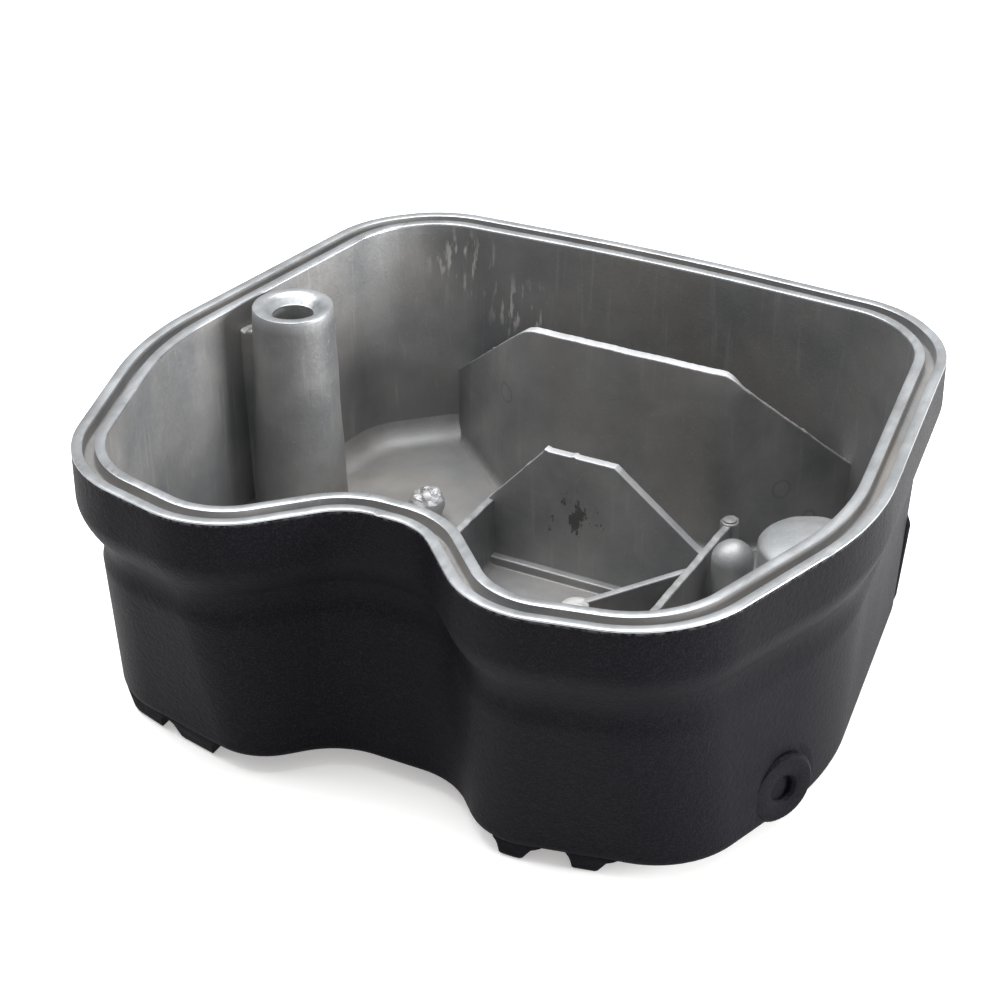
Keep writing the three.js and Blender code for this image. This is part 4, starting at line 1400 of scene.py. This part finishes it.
@dataclass
class CornerLug:
    """Slim lug on the back right-hand corner of the wall."""

    x: float = 79.7
    y: float = 62.11
    turn: float = 27.8
    width: float = 12.0
    lean: float = 2.3
    top_drop: float = 44.0
    bottom_drop: float = 69.0

    def build(self, finishes: Finishes) -> bpy.types.Object:
        """Rounded bar: its outer face leans in from top to bottom, its sides run into the wall.

        Args:
            finishes: the tub's finishes.

        Returns:
            The finished piece.
        """
        share = np.array([0.0, 0.01, 0.06, 0.3, 0.6, 0.9, 0.955, 0.985, 1.0])
        inward = np.array([1.6, 0.5, 0.0, 0.0, 0.0, 0.0, 0.3, 0.9, 2.2])
        height = RIM_Z - self.top_drop - (self.bottom_drop - self.top_drop) * share
        face = -self.lean * share - inward
        half = self.width / 2
        corner = np.array([
            (-6.0, -half), (-1.2, -half), (-0.5, -half + 0.15), (-0.1, -half + 0.6), (0.0, -half + 1.3),
            (0.0, half - 1.3), (-0.1, half - 0.6), (-0.5, half - 0.15), (-1.2, half), (-6.0, half),
        ])
        bearing = math.radians(self.turn)
        out = face[:, None] + corner[None, :, 0]
        side = np.broadcast_to(corner[None, :, 1], out.shape)
        x = self.x + out * math.cos(bearing) - side * math.sin(bearing)
        y = self.y + out * math.sin(bearing) + side * math.cos(bearing)
        points = np.stack([x, y, np.broadcast_to(height[:, None], out.shape)], axis=-1)
        piece = Surface(points, cap_rows=True).build("corner_lug_pad", [finishes.coat], 40.0)
        return publish(piece, Slot.COAT, "corner_lug")


@dataclass
class Fins:
    """Cooling fins under the floor, steep on the side that faces the middle."""

    count: int = 8
    first: float = 53.4
    pitch: float = 17.05
    tip: float = 4.6
    wide_tip: float = 9.0
    inner_draft: float = 0.5
    outer_draft: float = 4.0
    round: float = 0.9
    inside: float = 0.3

    def section(self, x: float, wide: bool) -> np.ndarray:
        """Section as rows of x and z, rounded at the tip and with a soft root.

        Args:
            x: place along X.
            wide: whether it is one of the wide fins.

        Returns:
            Rows of x and z.
        """
        outward = math.copysign(1.0, x)
        half = (self.wide_tip if wide else self.tip) / 2
        edge = self.round
        outer = [(half + self.outer_draft + 1.6, PAN_Z + 0.6), (half + self.outer_draft + 0.5, PAN_Z - 0.05),
                 (half + self.outer_draft * 0.82, PAN_Z - 0.55), (half + self.outer_draft * 0.3, 1.15),
                 (half + 0.25, 0.35), (half - 0.35, 0.04), (half - edge, 0.0)]
        inner = [(half - edge, 0.0), (half - 0.25, 0.1), (half + 0.02, 0.45), (half + 0.12, 1.0),
                 (half + self.inner_draft * 0.8, PAN_Z - 1.2), (half + self.inner_draft + 0.25, PAN_Z - 0.35),
                 (half + self.inner_draft + 1.1, PAN_Z + 0.6)]
        inner_rows = np.array(inner) * (-1, 1)
        return np.vstack([outer, inner_rows]) * (outward, 1) + (x, 0)

    def reach(self, section: np.ndarray, front: float, back: float) -> tuple[np.ndarray, np.ndarray]:
        """Front and back end of a fin at each point of its section, trimmed to the wall's outline.

        Args:
            section: rows of x and z.
            front: lowest y of the fin's node.
            back: highest y of the fin's node.

        Returns:
            Lowest and highest y for each row of the section.
        """
        levels = np.linspace(0, PAN_Z + 1, 6)
        rings = OUTLINE.ring(WALLS.outer(RIM_Z - levels) + self.inside)
        ends = []
        for side, limit in ((-1, front), (1, back)):
            table = []
            for ring in rings:
                part = ring[ring[:, 1] * side > 0]
                part = part[np.argsort(part[:, 0])]
                table.append(np.interp(section[:, 0], part[:, 0], part[:, 1]))
            level = np.clip(section[:, 1] / (PAN_Z + 1) * 5, 0, 5)
            low = np.floor(np.minimum(level, 4)).astype(int)
            table = np.array(table)
            index = np.arange(len(section))
            end = table[low, index] + (table[low + 1, index] - table[low, index]) * (level - low)
            ends.append(np.maximum(end, limit) if side < 0 else np.minimum(end, limit))
        return ends[0], ends[1]

    def build(self, finishes: Finishes) -> list[bpy.types.Object]:
        """Run every fin from front to back, its ends rounded down to the floor's edge.

        Args:
            finishes: the tub's finishes.

        Returns:
            The finished pieces.
        """
        made = []
        for index in range(self.count):
            node = f"underside_fin_{index + 1}"
            x = self.first - index * self.pitch
            section = self.section(x, index >= self.count - 2)
            low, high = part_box(node)
            front, back = low.y / MM, high.y / MM
            near = np.array([0.0, 0.12, 0.5, 1.1, 2.0])
            drop = np.array([1.6, 0.9, 0.35, 0.1, 0.0])
            along = np.concatenate([front + near, np.linspace(front + 6, back - 6, 26), back - near[::-1]])
            lift = np.concatenate([drop, np.zeros(26), drop[::-1]])
            height = np.maximum(section[None, :, 1], lift[:, None])
            grid_x = np.broadcast_to(section[None, :, 0], height.shape)
            share = (along - front) / (back - front)
            nearest, farthest = self.reach(section, front, back)
            grid_y = nearest + (farthest - nearest) * share[:, None]
            points = np.stack([grid_x, grid_y, height], axis=-1)
            piece = Surface(points, cap_rows=True).build(f"cooling_fin_{index + 1}", [finishes.coat], 40.0)
            made.append(publish(piece, Slot.COAT, node))
        return made


# ---- Studio ---------------------------------------------------------------------------------


@dataclass
class Studio:
    """Pale floor, soft light and the camera."""

    lens: float = 88.705
    sensor: float = 36.0
    place: tuple[float, float, float] = (239.28, -465.26, 353.66)
    forward: tuple[float, float, float] = (-0.40105, 0.76140, -0.50934)
    roll: float = -0.142
    floor_half: float = 4000.0

    def camera(self) -> None:
        """Camera at its place, looking along its forward direction."""
        ahead = Vector(self.forward).normalized()
        right = ahead.cross(Vector((0, 0, 1))).normalized()
        up = right.cross(ahead)
        roll = math.radians(self.roll)
        across = right * math.cos(roll) + up * math.sin(roll)
        above = up * math.cos(roll) - right * math.sin(roll)
        data = bpy.data.cameras.new("camera")
        data.lens = self.lens
        data.sensor_width = self.sensor
        data.clip_start, data.clip_end = 0.01, 50.0
        camera = bpy.data.objects.new("camera", data)
        turn = Matrix((across, above, -ahead)).transposed().to_4x4()
        camera.matrix_world = Matrix.Translation(Vector(self.place) * MM) @ turn
        bpy.context.scene.collection.objects.link(camera)
        bpy.context.scene.camera = camera

    def floor(self) -> None:
        """Large pale floor with a faint unevenness."""
        half = self.floor_half
        corners = np.array([[(-half, -half), (half, -half)], [(-half, half), (half, half)]], float)
        points = np.concatenate([corners, np.full((2, 2, 1), -0.05)], axis=-1)
        mesh = bpy.data.meshes.new("studio_floor")
        mesh.from_pydata((points.reshape(-1, 3) * MM).tolist(), [], [(0, 1, 3, 2)])
        sheet = NodeSheet("pale_floor")
        cloud = sheet.noise(sheet.place(), 5.0, 3.0, 0.5)
        tone = sheet.mix(sheet.fit(cloud, 0.3, 0.7), (0.86, 0.855, 0.85, 1), (0.90, 0.90, 0.90, 1))
        rough = sheet.fit(cloud, 0.3, 0.7, 0.55, 0.65)
        sheet.put(sheet.shader, "Emission Color", (1.0, 0.985, 0.975, 1.0))
        sheet.put(sheet.shader, "Emission Strength", 0.35)
        mesh.materials.append(sheet.surface(color=tone, roughness=rough, specular=0.25))
        floor = bpy.data.objects.new("studio_floor", mesh)
        bpy.context.scene.collection.objects.link(floor)

    def light(self, name: str, place: tuple[float, float, float], size: tuple[float, float], power: float,
              colour: tuple[float, float, float] = (1, 1, 1)) -> None:
        """Soft box at a place in metres, turned towards the tub.

        Args:
            name: name of the lamp.
            place: where it hangs, in metres.
            size: its two sides, in metres.
            power: its power in watts.
            colour: its colour.
        """
        data = bpy.data.lights.new(name, "AREA")
        data.shape = "RECTANGLE"
        data.size, data.size_y = size
        data.energy = power
        data.color = colour
        lamp = bpy.data.objects.new(name, data)
        where = Vector(place)
        aim = (Vector((0, 0, 0.05)) - where).normalized()
        lamp.matrix_world = Matrix.Translation(where) @ aim.to_track_quat("-Z", "Y").to_matrix().to_4x4()
        bpy.context.scene.collection.objects.link(lamp)

    def world(self) -> None:
        """Even white surroundings, darker low down at the front left."""
        world = bpy.data.worlds.new("studio_world")
        world.use_nodes = True
        tree = world.node_tree
        background = next(node for node in tree.nodes if node.type == "BACKGROUND")
        where = tree.nodes.new("ShaderNodeTexCoord")
        lean = tree.nodes.new("ShaderNodeVectorMath")
        lean.operation = "DOT_PRODUCT"
        lean.inputs[1].default_value = Vector((0.42, 0.35, 0.84)).normalized()
        tree.links.new(where.outputs["Generated"], lean.inputs[0])
        span = tree.nodes.new("ShaderNodeMapRange")
        span.inputs["From Min"].default_value = -0.5
        span.inputs["From Max"].default_value = 0.75
        span.inputs["To Min"].default_value = 0.25
        span.inputs["To Max"].default_value = 1.0
        tree.links.new(lean.outputs["Value"], span.inputs["Value"])
        tree.links.new(span.outputs["Result"], background.inputs["Strength"])
        background.inputs["Color"].default_value = (1.0, 1.0, 1.0, 1.0)
        bpy.context.scene.world = world

    def build(self) -> None:
        """Set up floor, camera, world and lamps."""
        self.floor()
        self.camera()
        self.world()
        self.light("top_box", (-0.15, 0.15, 1.5), (1.3, 1.1), 26.0)
        self.light("left_box", (-0.9, -0.25, 1.2), (0.8, 0.8), 8.0)
        self.light("right_box", (1.5, 0.35, 0.4), (0.9, 0.5), 45.0)
        bpy.context.scene.view_settings.view_transform = "Standard"


# ---- Assembly -------------------------------------------------------------------------------


BALL_BOSS = RoundBoss(
    "ball_head_boss", "ball_boss", x=48.6, y=20.6, radius=5.4, top=RIM_Z - 40.0, crown=5.4, waist=1.2)
DOMED_BOSS = RoundBoss(
    "domed_wall_boss", "domed_boss", x=72.1, y=12.32, radius=13.2, top=RIM_Z - 26.5, crown=4.0,
    foot=3.0, farthest_x=85.3)
GATE_STUB = BrokenStub(
    "torn_gate_stub", "gate_stub", place=(-43.5, 29.1, FLOOR_Z + 3.0), size=(10.5, 8.5, 12.5), seed=91)
RIB_STUB = BrokenStub(
    "torn_rib_stub", "rib_stub", place=(-18.6, -3.9, RIM_Z - Ribs.top_drop + 0.2), size=(3.6, 5.2, 3.4),
    seed=95)


def main() -> None:
    """Build the tub's pieces in order and set the studio."""
    logging.basicConfig(level=logging.INFO, format="%(message)s")
    finishes = Finishes.make()
    SealingRim().build(finishes)
    SideWall().build(finishes)
    FloorPan().build(finishes)
    BoltPillar().build(finishes)
    RearBaffle().build(finishes)
    FrontBaffle().build(finishes)
    Ribs().build(finishes)
    BALL_BOSS.build(finishes.pale)
    DOMED_BOSS.build(finishes.pale)
    GATE_STUB.build(finishes.torn)
    RIB_STUB.build(finishes.torn)
    SidePort().build(finishes)
    CornerLug().build(finishes)
    Fins().build(finishes)
    Studio().build()


if __name__ == "__main__":
    main()
